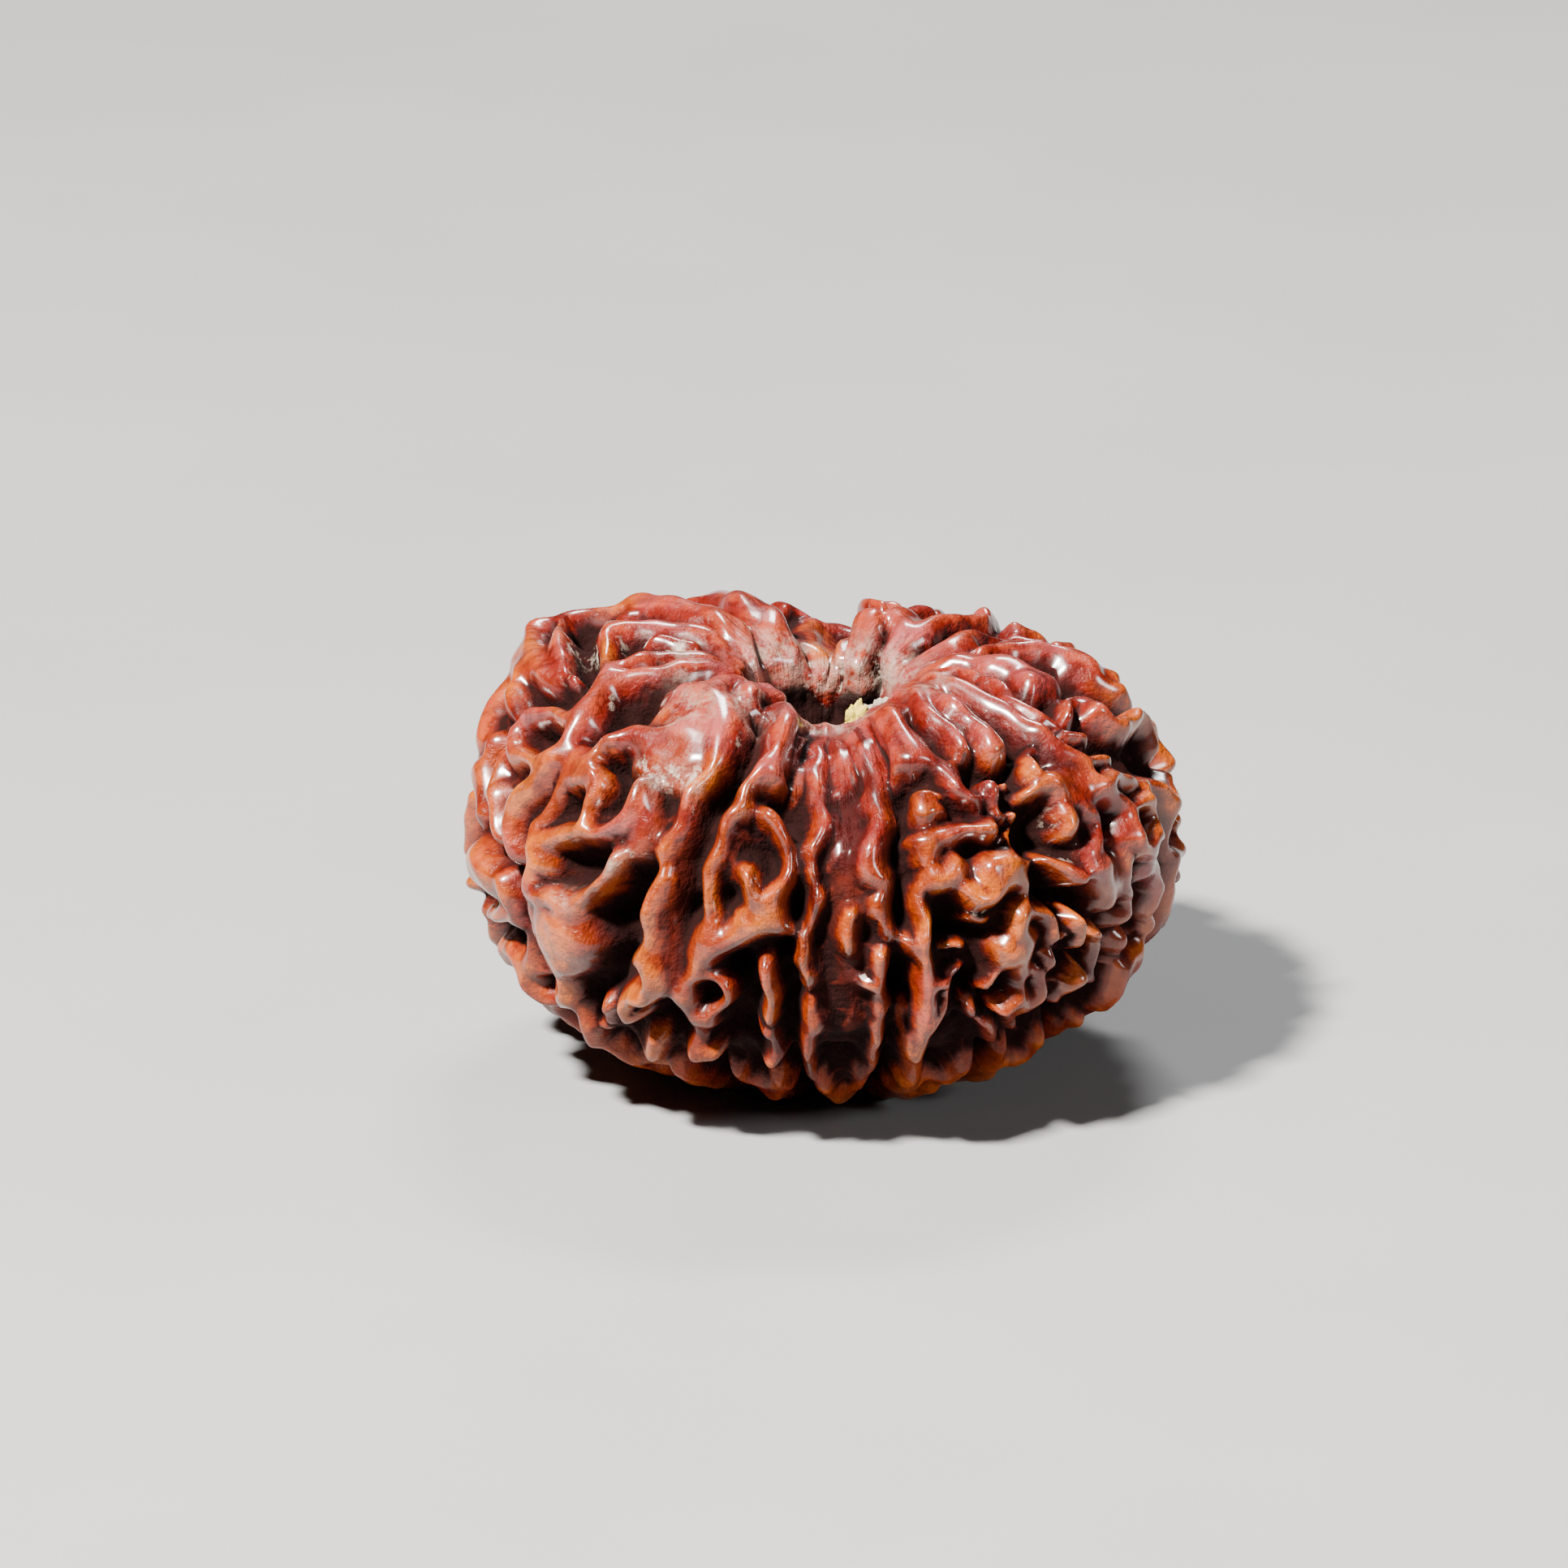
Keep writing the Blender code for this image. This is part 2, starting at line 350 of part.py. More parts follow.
def skin(azimuth, station):
    """The smooth surface that the ridge tops follow, in millimetres."""
    radius = np.interp(station, SKIN_STATION, SKIN_CURVE[:, 0])
    height = np.interp(station, SKIN_STATION, SKIN_CURVE[:, 1])
    crown = np.clip((height - CROWN_FROM) / CROWN_SPAN, 0.0, 1.0) ** 1.5
    outwards = ease(4.5, 8.5, station)
    for centre, mouth_width, width, depth in CROWN_DIPS:
        spread = mouth_width + (width - mouth_width) * outwards
        height = height - crown * depth * hump(azimuth, centre, spread)
    for centre, width, share in GIRTH_SWELLS:
        radius = radius * (1 + share * hump(azimuth, centre, width))
    for centre, width, middle, reach, rise in BULGES:
        bulge = rise * hump(azimuth, centre, width) * np.exp(-((station - middle) / reach) ** 2)
        radius = radius + bulge * np.interp(station, SKIN_STATION, SKIN_OUT[:, 0])
        height = height + bulge * np.interp(station, SKIN_STATION, SKIN_OUT[:, 1])
    turn = np.radians(azimuth)
    return np.stack([radius * np.sin(turn), -radius * np.cos(turn), height], axis=-1)


def skin_normal(azimuth, station):
    """The outward direction of the skin, from two short steps along it."""
    across = skin(azimuth + 0.2, station) - skin(azimuth - 0.2, station)
    down = skin(azimuth, station + 0.05) - skin(azimuth, station - 0.05)
    normal = np.cross(down, across)
    return normal / np.linalg.norm(normal, axis=-1, keepdims=True)


def ripple(places, seed):
    """A slow, smooth unevenness between about -1 and 1."""
    draw = random.Random(seed)
    total = np.zeros(len(places))
    for _ in range(RIPPLE_WAVES):
        way = np.array([draw.gauss(0, 1), draw.gauss(0, 1), draw.gauss(0, 1)])
        way *= 2 * math.pi / draw.uniform(2.6, 5.5) / np.linalg.norm(way)
        total += np.sin(places @ way + draw.uniform(0, 2 * math.pi))
    return total / math.sqrt(RIPPLE_WAVES)


def face_net(draw, left, right, first, last):
    """Two wavy, broken rims along the face's clefts, with rungs, stubs and knobs between them."""
    width = right - left
    phase = draw.uniform(0, 6)
    stations = np.arange(first, last, 1.2)
    rims = []
    ridges = []
    for side in (0.22, 0.78):
        wave = 0.07 * np.sin(phase + 5 * side + 0.9 * stations)
        azimuths = left + width * (side + wave + np.array([draw.uniform(-0.03, 0.03) for _ in stations]))
        rims.append(azimuths)
        start = 0
        while start < len(stations):
            end = start + draw.choice((1, 2, 3, 4))
            ridges.append((draw.uniform(0.5, 0.72), draw.uniform(0.88, 1.05),
                           list(zip(azimuths[start:end], stations[start:end]))))
            start = end
    station = first + draw.uniform(0.2, 0.8)
    while station < last:
        start = (np.interp(station, stations, rims[0]), station)
        end_station = station + draw.uniform(-0.9, 0.9)
        end = (np.interp(end_station, stations, rims[1]), end_station)
        middle = ((start[0] + end[0]) / 2 + draw.uniform(-2, 2), station + draw.uniform(-0.9, 0.9))
        kind = draw.random()
        if kind < 0.45:
            ridges.append((draw.uniform(0.4, 0.6), 0.95, [start, middle, end]))
        elif kind < 0.65:
            ridges.append((draw.uniform(0.45, 0.6), 0.92, [start, middle]))
        elif kind < 0.85:
            ridges.append((draw.uniform(0.45, 0.6), 0.92, [middle, end]))
        else:
            ridges.append((draw.uniform(0.6, 0.85), 0.95, [middle, (middle[0] + 2, middle[1] + 0.6)]))
        station += draw.uniform(1.8, 2.8)
    return ridges


def under_net(draw, left, right):
    """Short fingers that draw together towards the lower hole, with knobs between them."""
    middle = (left + right) / 2
    width = right - left
    ridges = []
    for side in (-0.26, 0.26):
        start = middle + side * width
        ridges.append((draw.uniform(0.45, 0.6), 0.95, [
            (start, 28.4 + draw.uniform(-0.4, 0.6)), (start + draw.uniform(-2, 2), 30.2),
            (middle + side * width * 0.7, 32.2 + draw.uniform(-0.5, 0.8))]))
    ridges.append((draw.uniform(0.6, 0.75), 1.0, [
        (middle + draw.uniform(-3, 3), 31.4 + draw.uniform(-0.5, 0.8)), (middle, 33.6),
        (middle + draw.uniform(-2, 2), 36.5)]))
    if draw.random() < 0.6:
        ridges.append((0.42, 0.85, [(middle - 0.26 * width, 29.9), (middle + 0.26 * width, 29.4)]))
    return ridges


def all_ridges():
    draw = random.Random(SEED)
    ridges = (CROWN_LEFT + CROWN_RIGHT + LEFT_FACES + COLUMN + LADDER_FACE + NARROW_FACES + HOOKED_FACE
              + LUMP_FACE + RIGHT_FACES)
    for left, right, first, last in NETTED_FACES:
        ridges = ridges + face_net(draw, left, right, first, last)
    lower = [girth for crown, girth in CLEFTS]
    for left, right in zip(lower, lower[1:] + [lower[0] + 360]):
        ridges = ridges + under_net(draw, left, right)
    return ridges


def cleft_gap(azimuth, station, places):
    """Distance along the skin from each place to the nearest cleft, in millimetres."""
    reach = np.hypot(places[:, 0], places[:, 1])
    gaps = []
    for crown, girth in CLEFTS:
        cleft = crown + (girth - crown) * ease(9.0, 18.0, station)
        gaps.append(np.abs(np.radians(turn_gap(azimuth, cleft))) * reach)
    return np.min(gaps, axis=0)


def floor_depth(azimuth, station, places):
    """How far the pit floors lie below the skin. It fades out at both throats."""
    ends = np.minimum(station, SKIN_LENGTH - station)
    depth = HOLE_PIT_DEPTH + (PIT_DEPTH - HOLE_PIT_DEPTH) * ease(3.5, 9.0, ends)
    depth = depth * (1 + PIT_RIPPLE * ripple(places, 3))
    depth = depth + CLEFT_EXTRA * np.exp(-(cleft_gap(azimuth, station, places) / CLEFT_HALF_WIDTH) ** 2)
    for radius, pit_azimuth, pit_station in DEEP_PITS:
        centre = skin(np.array([float(pit_azimuth)]), np.array([float(pit_station)]))
        gap = np.linalg.norm(places - centre, axis=1)
        depth = depth + PIT_EXTRA * np.exp(-(gap / radius) ** 2)
    return depth * ease(0.2, 1.8, ends)


def cleft_sink(azimuth, station, places):
    """How far ridges and floors alike sink towards the clefts, away from the throats."""
    ends = np.minimum(station, SKIN_LENGTH - station)
    gap = cleft_gap(azimuth, station, places)
    return CLEFT_DIP * np.exp(-(gap / CLEFT_DIP_WIDTH) ** 2) * ease(5.0, 9.0, ends)


def ridge_level(ridge, places, depth):
    """The places near one ridge, and how far it stands above the floor there."""
    half_width, share, points = ridge
    line = smooth_curve(points, 6) if len(points) > 2 else np.array(points, float)
    path = skin(line[:, 0], line[:, 1])
    reach = half_width * 1.4
    near = np.all((places > path.min(axis=0) - reach) & (places < path.max(axis=0) + reach), axis=1)
    chosen = np.flatnonzero(near)
    spots = places[chosen]
    gap = np.linalg.norm(spots - path[0], axis=1)
    for start, end in zip(path, path[1:]):
        way = end - start
        along = np.clip((spots - start) @ way / max(way @ way, 1e-9), 0.0, 1.0)
        gap = np.minimum(gap, np.linalg.norm(spots - start - along[:, None] * way, axis=1))
    across = gap / half_width
    cap = np.clip(1 - across**2, 0.0, 1.0) ** 0.55
    drop = min(half_width, TALLEST_CAP) * (1 - cap)
    level = np.clip(depth[chosen] * share - drop, 0.0, None) * (1 - ease(0.8, 1.35, across))
    return chosen, level


def relief(azimuth, station):
    """Depth of the seed's surface below the skin, in millimetres."""
    places = skin(azimuth, station)
    depth = floor_depth(azimuth, station, places)
    total = np.zeros(len(places))
    for ridge in all_ridges():
        chosen, level = ridge_level(ridge, places, depth)
        total[chosen] += level**BLEND_POWER
    level = total ** (1 / BLEND_POWER) * (1 + RIDGE_RIPPLE * ripple(places, 4))
    return depth - level + cleft_sink(azimuth, station, places)


def spun_body():
    """The skin's outline and the wall of the hole, turned once round the axis."""
    mesh = bmesh.new()
    mark = mesh.verts.layers.float.new("station")
    stations = np.linspace(0.0, SKIN_LENGTH, SKIN_STEPS)
    skin_points = skin(np.zeros_like(stations), stations)
    outline = []
    for place, station in zip(skin_points, stations):
        vert = mesh.verts.new(place)
        vert[mark] = station
        outline.append(vert)
    top, bottom = skin_points[0], skin_points[-1]
    for step in range(1, WALL_STEPS):
        vert = mesh.verts.new(bottom + (top - bottom) * step / WALL_STEPS)
        vert[mark] = -step
        outline.append(vert)
    edges = [mesh.edges.new((first, second)) for first, second in zip(outline, outline[1:] + outline[:1])]
    bmesh.ops.spin(mesh, geom=outline + edges, cent=(0, 0, 0), axis=(0, 0, 1), angle=2 * math.pi,
                   steps=AZIMUTH_STEPS, use_merge=True)
    body = bpy.data.meshes.new("rudraksha_seed")
    mesh.to_mesh(body)
    mesh.free()
    return body


def hole_wall(azimuth, rise):
    """The wall of the hole, from the lower throat (rise 0) to the upper one (rise 1)."""
    knots = np.linspace(0.0, 1.0, len(HOLE_WALL))
    share = np.interp(rise, knots, [wall_share for wall_share, height in HOLE_WALL])
    height = np.interp(rise, knots, [height for wall_share, height in HOLE_WALL])
    throat = skin(azimuth, np.zeros_like(rise))
    dip = (throat[:, 2] - SKIN_PROFILE[0][1]) * rise
    return np.stack([throat[:, 0] * share, throat[:, 1] * share, height + dip], axis=-1)


def carve(body):
    """Moves every point of the spun ring onto the seed's own surface."""
    count = len(body.vertices)
    places = np.empty(count * 3)
    body.vertices.foreach_get("co", places)
    places = places.reshape(-1, 3)
    marks = np.empty(count)
    body.attributes["station"].data.foreach_get("value", marks)
    azimuth = np.degrees(np.arctan2(places[:, 0], -places[:, 1]))
    outer = marks >= 0
    station = marks[outer]
    places[outer] = (skin(azimuth[outer], station)
                     - skin_normal(azimuth[outer], station) * relief(azimuth[outer], station)[:, None])
    places[~outer] = hole_wall(azimuth[~outer], -marks[~outer] / WALL_STEPS)
    body.vertices.foreach_set("co", (places * MM).ravel())
    body.update()


def face_outwards(body):
    mesh = bmesh.new()
    mesh.from_mesh(body)
    bmesh.ops.recalc_face_normals(mesh, faces=mesh.faces)
    if mesh.calc_volume(signed=True) < 0:
        bmesh.ops.reverse_faces(mesh, faces=mesh.faces)
    mesh.to_mesh(body)
    mesh.free()


def shell_material():
    material = bpy.data.materials.new("seed_shell")
    material.use_nodes = True
    shader = material.node_tree.nodes["Principled BSDF"]
    shader.inputs["Base Color"].default_value = SHELL_COLOUR
    shader.inputs["Roughness"].default_value = SHELL_ROUGHNESS
    shader.inputs["Metallic"].default_value = 0.0
    return material


def thin_faces(seed):
    """Keeps the form with few faces."""
    thinner = seed.modifiers.new("fewer_faces", "DECIMATE")
    thinner.ratio = FACES_WANTED / (2 * len(seed.data.polygons))
    ready = seed.evaluated_get(bpy.context.evaluated_depsgraph_get())
    body = bpy.data.meshes.new_from_object(ready)
    seed.modifiers.remove(thinner)
    seed.data = body


def stand_over_origin(body):
    """Centres the seed over the origin, with its lowest ridges just below the resting plane."""
    places = np.empty(len(body.vertices) * 3)
    body.vertices.foreach_get("co", places)
    places = places.reshape(-1, 3)
    low, high = places.min(axis=0), places.max(axis=0)
    places -= [(low[0] + high[0]) / 2, (low[1] + high[1]) / 2, low[2] + REST_CUT * MM]
    body.vertices.foreach_set("co", places.ravel())
    body.update()


def rest_cutter():
    """The block below the resting plane, which takes the small flats off the lowest ridges."""
    block = bpy.data.meshes.new("rest_cutter")
    mesh = bmesh.new()
    bmesh.ops.create_cube(mesh, size=1.0)
    bmesh.ops.scale(mesh, vec=(40 * MM, 40 * MM, 4 * MM), verts=mesh.verts)
    bmesh.ops.translate(mesh, vec=(0, 0, -2 * MM), verts=mesh.verts)
    mesh.to_mesh(block)
    mesh.free()
    cutter = bpy.data.objects.new("rest_cutter", block)
    bpy.context.collection.objects.link(cutter)
    cutter.hide_render = True
    cutter.display_type = "WIRE"
    return cutter


def main():
    clear_scene()
    body = spun_body()
    carve(body)
    face_outwards(body)
    seed = bpy.data.objects.new("rudraksha_seed", body)
    bpy.context.collection.objects.link(seed)
    thin_faces(seed)
    stand_over_origin(seed.data)
    seed.data.shade_smooth()
    seed.data.materials.append(shell_material())
    flats = seed.modifiers.new("rest_flats", "BOOLEAN")
    flats.operation = "DIFFERENCE"
    flats.object = rest_cutter()


main()
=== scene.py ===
"""Rudraksha seed, dressed: a finer skin over the same ridges, waxed shell, dry remains in the crevices."""
import math
import random

import bmesh
import bpy
import numpy as np
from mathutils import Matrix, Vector
from mathutils.kdtree import KDTree


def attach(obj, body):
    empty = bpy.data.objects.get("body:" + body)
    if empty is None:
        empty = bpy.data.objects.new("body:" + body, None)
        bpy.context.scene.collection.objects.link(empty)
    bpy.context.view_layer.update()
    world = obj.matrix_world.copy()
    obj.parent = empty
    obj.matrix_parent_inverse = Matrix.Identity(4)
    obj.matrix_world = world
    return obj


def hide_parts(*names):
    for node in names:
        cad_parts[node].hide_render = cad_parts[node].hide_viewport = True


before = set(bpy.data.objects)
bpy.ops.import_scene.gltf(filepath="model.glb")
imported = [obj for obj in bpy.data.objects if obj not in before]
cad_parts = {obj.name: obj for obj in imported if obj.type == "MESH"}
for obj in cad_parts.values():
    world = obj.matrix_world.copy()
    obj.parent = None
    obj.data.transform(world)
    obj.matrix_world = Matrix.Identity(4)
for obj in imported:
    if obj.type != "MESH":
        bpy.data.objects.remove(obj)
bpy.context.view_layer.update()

MM = 0.001
SEED_NODE = "rudraksha_seed"
# The seed stands over the origin once its middle and its lowest ridges are moved there, in millimetres.
STANDING = np.array([0.107, 0.109, -0.276])

# Camera, in millimetres.
CAMERA_PLACE = (0.107, -469.737, 179.984)
CAMERA_AIM = (-1.628, 1.025, 11.522)
CAMERA_LENS = 279.2

# Skin over the ridge tops: radius and height in millimetres, from the upper throat down to the lower one.
# It makes the seed 30 mm across and 18.5 mm high.
SKIN_PROFILE = [
    (2.88, 13.9), (3.1, 15.9), (3.55, 17.2), (4.9, 18.15), (6.6, 18.5), (8.7, 18.25), (11.3, 17.2),
    (13.3, 15.3), (14.6, 12.5), (15.0, 9.4), (14.5, 6.7), (13.2, 4.4), (11.1, 2.65), (8.7, 1.4), (6.4, 0.6),
    (4.6, 0.15), (3.1, 0.9), (2.35, 2.6), (2.15, 4.4),
]
PROFILE_STEPS = 40
# Wall of the natural hole, from the lower throat up: share of the upper throat's radius, and height.
HOLE_WALL = [(0.75, 4.4), (0.55, 5.4), (0.47, 7.0), (0.45, 11.0), (0.52, 12.6), (1.0, 13.9)]

# The crown dips in front, behind and on the right: azimuth, width in degrees at the mouth of the hole and
# further out, depth in millimetres.
CROWN_FROM = 9.0
CROWN_SPAN = 9.5
CROWN_DIPS = [(3, 29, 12, 1.9), (180, 9, 9, 1.5), (105, 70, 70, 0.9), (180, 50, 50, 0.3)]
# The outline seen from above: azimuth, width in degrees, share of the radius.
GIRTH_SWELLS = [(0, 60, -0.045), (180, 50, -0.045), (-118, 30, 0.03)]
# Full and lean places: azimuth, width in degrees, station, width along the skin, rise.
BULGES = [
    (-105, 35, 12.5, 3.5, 0.5), (-113, 13, 12.3, 1.8, 0.75), (-131, 10, 10.5, 2.0, -0.35),
    (-66, 13, 23.7, 2.2, -0.5), (66, 16, 22.5, 3.2, -0.8), (46, 12, 26.5, 2.5, -0.4),
]

PIT_DEPTH = 1.6
HOLE_PIT_DEPTH = 0.8  # the pits are shallower towards both holes
PIT_RIPPLE = 0.2
RIPPLE_WAVES = 7
TALLEST_CAP = 0.9  # rise of a broad ridge's rounded top
BLEND_POWER = 10  # how sharply two ridges keep apart where they meet

# Clefts: azimuth on the crown (up to station 9) and azimuth from the girth down (from station 18).
CLEFTS = [
    (-167, -167), (-138, -140), (-117, -119), (-85, -82), (-52, -60), (-18, -24), (-5, -5.5), (12, 12.5),
    (27, 37), (46, 58), (64, 78), (100, 97), (128, 125), (148, 148), (176, 176),
]
CLEFT_EXTRA = 0.5
CLEFT_HALF_WIDTH = 0.42
CLEFT_DIP = 0.55  # ridges and floors alike sink towards the clefts
CLEFT_DIP_WIDTH = 0.85
RIDGE_RIPPLE = 0.1  # unevenness of the ridge tops

# Fine skin: steps round the seed and along it, length of the hole's wall, triangles that are kept.
AZIMUTH_STEPS = 640
RUN_STEPS = 380
WALL_LENGTH = 9.0
TRIANGLES_WANTED = 190000
SOFTEN_ROUNDS = 14
SOFTEN_SHARE = 0.5
SOFTEN_LOSS = 0.1  # what the softening takes off the ridge tops, in millimetres
WELD = 0.00001

# Fine relief, in millimetres where it isn't a share.
WOBBLE = 0.11  # the ridges waver sideways
KNOBBLE = 0.14  # share by which they grow thicker and thinner
FLOOR_NET = 0.6  # height of the fine creases in the pits
TOP_RIPPLE = 0.11  # unevenness along the tops
PIT_GAIN = 0.5  # share by which the shaded pits are deeper
HOLE_SHADE = 2.4  # depth given to the wall of the hole, which painted shade turns black
# Depth below the skin at which the painted shade of the pits is full.
DARKEST_DEPTH = 2.3
# Seed of the draw, shortest and longest wave of each unevenness.
WOBBLE_WAVES = ((11, 1.3, 3.2), (12, 1.3, 3.2), (13, 1.3, 3.2))
KNOBBLE_WAVES = (14, 1.2, 2.6)
CREASE_WAVES = (15, 0.8, 1.9)
TOP_WAVES = (16, 0.9, 2.2)

# Colours of the shell, from the painted shade of the pits and walls to the ridge tops, and of what is left
# in it.
# Painted shade: the black and the two dark wall colours darken the shell by its depth below the ridge tops.
# The darker of the two reds also colours the streaks and grain.
PIT_SHADE_BLACK = (0.006, 0.0006, 0.0004, 1.0)
SHADE_STREAK_AND_GRAIN_DARK = (0.024, 0.0006, 0.0003, 1.0)
ORANGE_WALL_SHADE = (0.055, 0.004, 0.0004, 1.0)
SHELL_RED = (0.086, 0.004, 0.0014, 1.0)
SHELL_PALE = (0.18, 0.021, 0.007, 1.0)
SHELL_ORANGE = (0.14, 0.0165, 0.0004, 1.0)
SHELL_AMBER = (0.26, 0.054, 0.001, 1.0)
SHELL_PINK = (0.2, 0.038, 0.042, 1.0)
DRY_PULP = (0.29, 0.23, 0.185, 1.0)
PITH_YELLOW = (0.45, 0.34, 0.05, 1.0)
FLOOR_COLOUR = (0.2, 0.202, 0.206, 1.0)
FLOOR_CLOUD = (0.5, 0.5, 0.5, 1.0)

# Scale of each pattern on the shell, in waves a metre.
BLOTCHES = 260.0
PINK_CLOUDS = 420.0
MOTTLE = 620.0
DENTS = 800.0
FILM = 1300.0
GRAIN = 1400.0
STREAKS = 1900.0
CRUMBS = 2600.0
STREAK_RADIUS = 0.009  # radius where streaks have their true width
STREAK_DRAW = 0.12  # how fast they change along their length, as a share
GRAIN_HEIGHT = 0.0002
DENT_HEIGHT = 0.00045
STREAK_HEIGHT = 0.0004

# Wax on the shell.
WAX_COAT = 1.0
WAX_ROUGHNESS = 0.2
WAX_IOR = 1.58
SHELL_SPECULAR = 0.08

# Lamps: place and size in metres, power in watts.
KEY_PLACE = (-0.19, -0.21, 0.39)
KEY_SIZE = (0.06, 0.04)
KEY_POWER = 20.0
KEY_TINT = (1.0, 0.95, 0.88)
FILL_PLACE = (0.34, -0.22, 0.2)
FILL_SIZE = (0.1, 0.1)
FILL_POWER = 1.0
BACK_PLACE = (0.05, 0.26, 0.34)
BACK_SIZE = (0.12, 0.06)
BACK_POWER = 2.0
LIT_HEIGHT = 0.009
WORLD_STRENGTH = 0.025

# Scraps of dry pith in the mouth: middle, half-sizes in millimetres, lean in degrees, share of yellow.
PITH_SCRAPS = [
    ((1.2, -1.6, 15.3), (0.42, 0.28, 0.8), 8, 1.0), ((1.8, -1.5, 15.5), (0.5, 0.35, 0.5), -30, 0.55),
    ((2.35, -1.2, 15.8), (0.45, 0.3, 0.4), 20, 0.45),
]
PITH_CRUMPLE = 0.34
PITH_WAVES = ((21, 0.7, 1.6), (22, 0.3, 0.6))

# Orange patches of the shell: radius in millimetres, azimuth, station. The lists after it are alike.
ORANGE_PATCHES = [
    (1.5, -24, 13), (1.5, -29, 17), (1.6, -31, 20), (1.6, -34, 23.5), (1.5, -36, 27), (1.6, -65, 16),
    (1.8, -79, 20), (1.8, -68, 21), (1.5, -105, 14.5), (1.5, -92, 14), (1.3, -45, 10.6), (1.3, -56, 18.5),
    (1.6, -62, 23.5), (1.6, -57, 25), (2.2, -50, 21.6), (1.0, -22, 21.5), (1.0, -10, 19), (0.9, -24, 25),
    (1.2, -21, 26.5), (0.8, -10, 22.5), (0.8, -10, 25.5), (0.8, -3, 20), (0.8, -3, 23.5), (0.8, -3.5, 26.5),
    (0.8, 9.7, 22.5), (0.8, 9.7, 25), (0.9, 9.5, 27.5), (0.9, 16.2, 18.5), (1.3, 17, 25.5), (1.2, 17.8, 28),
    (0.8, 17.5, 15.8), (1.4, 33, 17.5), (1.3, 27, 18), (1.2, 36, 20.5), (1.2, 36.5, 24.3), (1.6, 55, 19.3),
    (1.0, 40, 20), (1.0, 48, 16), (1.0, 54, 22.3), (1.2, -177, 5), (1.2, -178, 8), (1.2, -108, 9.5),
    (1.2, -86, 9.3), (0.9, 64, 20),
]
# Places where the shell is more mauve than orange.
MAUVE_PLACES = [
    (2.4, 62, 16), (2.4, 70, 20), (1.8, 50, 18.5), (2.0, 3, 8), (2.0, 4, 12), (1.6, 9, 15), (1.5, -3, 11),
    (1.6, -14, 12), (2.0, 58, 11), (1.6, 30, 13), (1.6, -60, 13), (1.4, -76, 13), (1.3, -38, 16),
]
# Places where the pits are deeper and painted shade makes them almost black.
SHADED_PITS = [
    (0.8, 3, 23), (0.9, 3.5, 25.5), (0.8, 3, 27.5), (0.7, -6.5, 20), (0.6, -6.5, 23), (0.7, -6.5, 26),
    (0.9, -15, 21), (1.0, -15, 23.2), (1.0, -15, 25.5), (1.3, -36, 19.4), (0.9, -33, 17.8),
    (1.1, -38.5, 21.8), (1.1, -42, 24.2), (0.9, -48, 25), (1.0, 22, 20), (1.0, 26, 19.6), (1.0, -57, 18.6),
    (1.1, 24.5, 22.5), (1.0, 28, 24.4), (0.9, 22, 25.5), (1.2, 41.5, 16.6), (1.0, 45, 19.8),
    (0.9, 49, 20.4), (0.9, 50, 22.4), (0.9, -92, 9.7), (1.0, -51.5, 9.4), (0.8, -66.5, 13.7),
    (0.9, -47, 14), (0.9, -49, 16), (0.8, -8, 16.8), (0.8, 44, 12.5), (0.9, 62, 11.9), (0.9, -63, 20),
    (0.8, -70, 24), (0.8, 12.5, 22.5), (0.9, 64, 17), (0.9, 72, 20),
]
# Places with a thin pale film.
PALE_PLACES = [
    (1.2, 128, 3.2), (1.2, 141, 3.1), (1.3, 155, 2.9), (1.3, 170, 2.7), (1.3, -175, 2.7), (1.3, -160, 2.9),
    (1.2, -145, 3.2), (0.9, -120, 3.2), (0.8, 110, 3.4), (0.6, -4, 5.6), (0.6, 6, 5.4), (0.6, 14, 5.6),
    (0.7, -42, 13.2), (0.7, -34, 13.4), (0.6, -27, 13.4), (0.6, -48, 19.4), (0.6, -37, 17.4),
    (1.1, -36, 9.6), (0.9, -30, 8.4), (0.8, -62, 7), (0.8, -78, 6.5), (0.7, 42, 6.5), (0.7, 58, 6),
    (0.7, -19, 9),
]
# Crevices with crumbs of dry pulp.
DUSTY_PLACES = [
    (1.3, 150, 2.0), (1.3, 165, 1.6), (1.3, 180, 1.6), (1.3, -165, 1.8), (1.1, -148, 2.2), (1.1, 134, 2.2),
    (0.9, 118, 2.4), (0.8, -104, 7.8), (1.2, -93, 9.6), (1.0, -84, 10.4), (1.0, -74, 11.4), (0.9, -52, 9.3),
    (0.8, -62, 10.5), (0.7, 12, 23), (0.7, 3, 26), (0.8, -98, 9.0), (0.9, -87, 6), (0.7, -55, 9.8),
    (0.7, -97, 10.6), (0.7, -79, 11.7), (0.9, -40, 13.1), (0.9, -33, 13.1), (0.8, -27, 13.1),
    (0.7, -24, 10.8), (0.9, -38, 17.5), (0.8, -33, 17.5), (1.2, 41, 16), (0.9, 43, 17.5), (0.8, 25, 19.2),
    (0.9, 32, 23.8), (0.8, 96, 11.4), (0.6, 12, 19),
]

SEED = 15
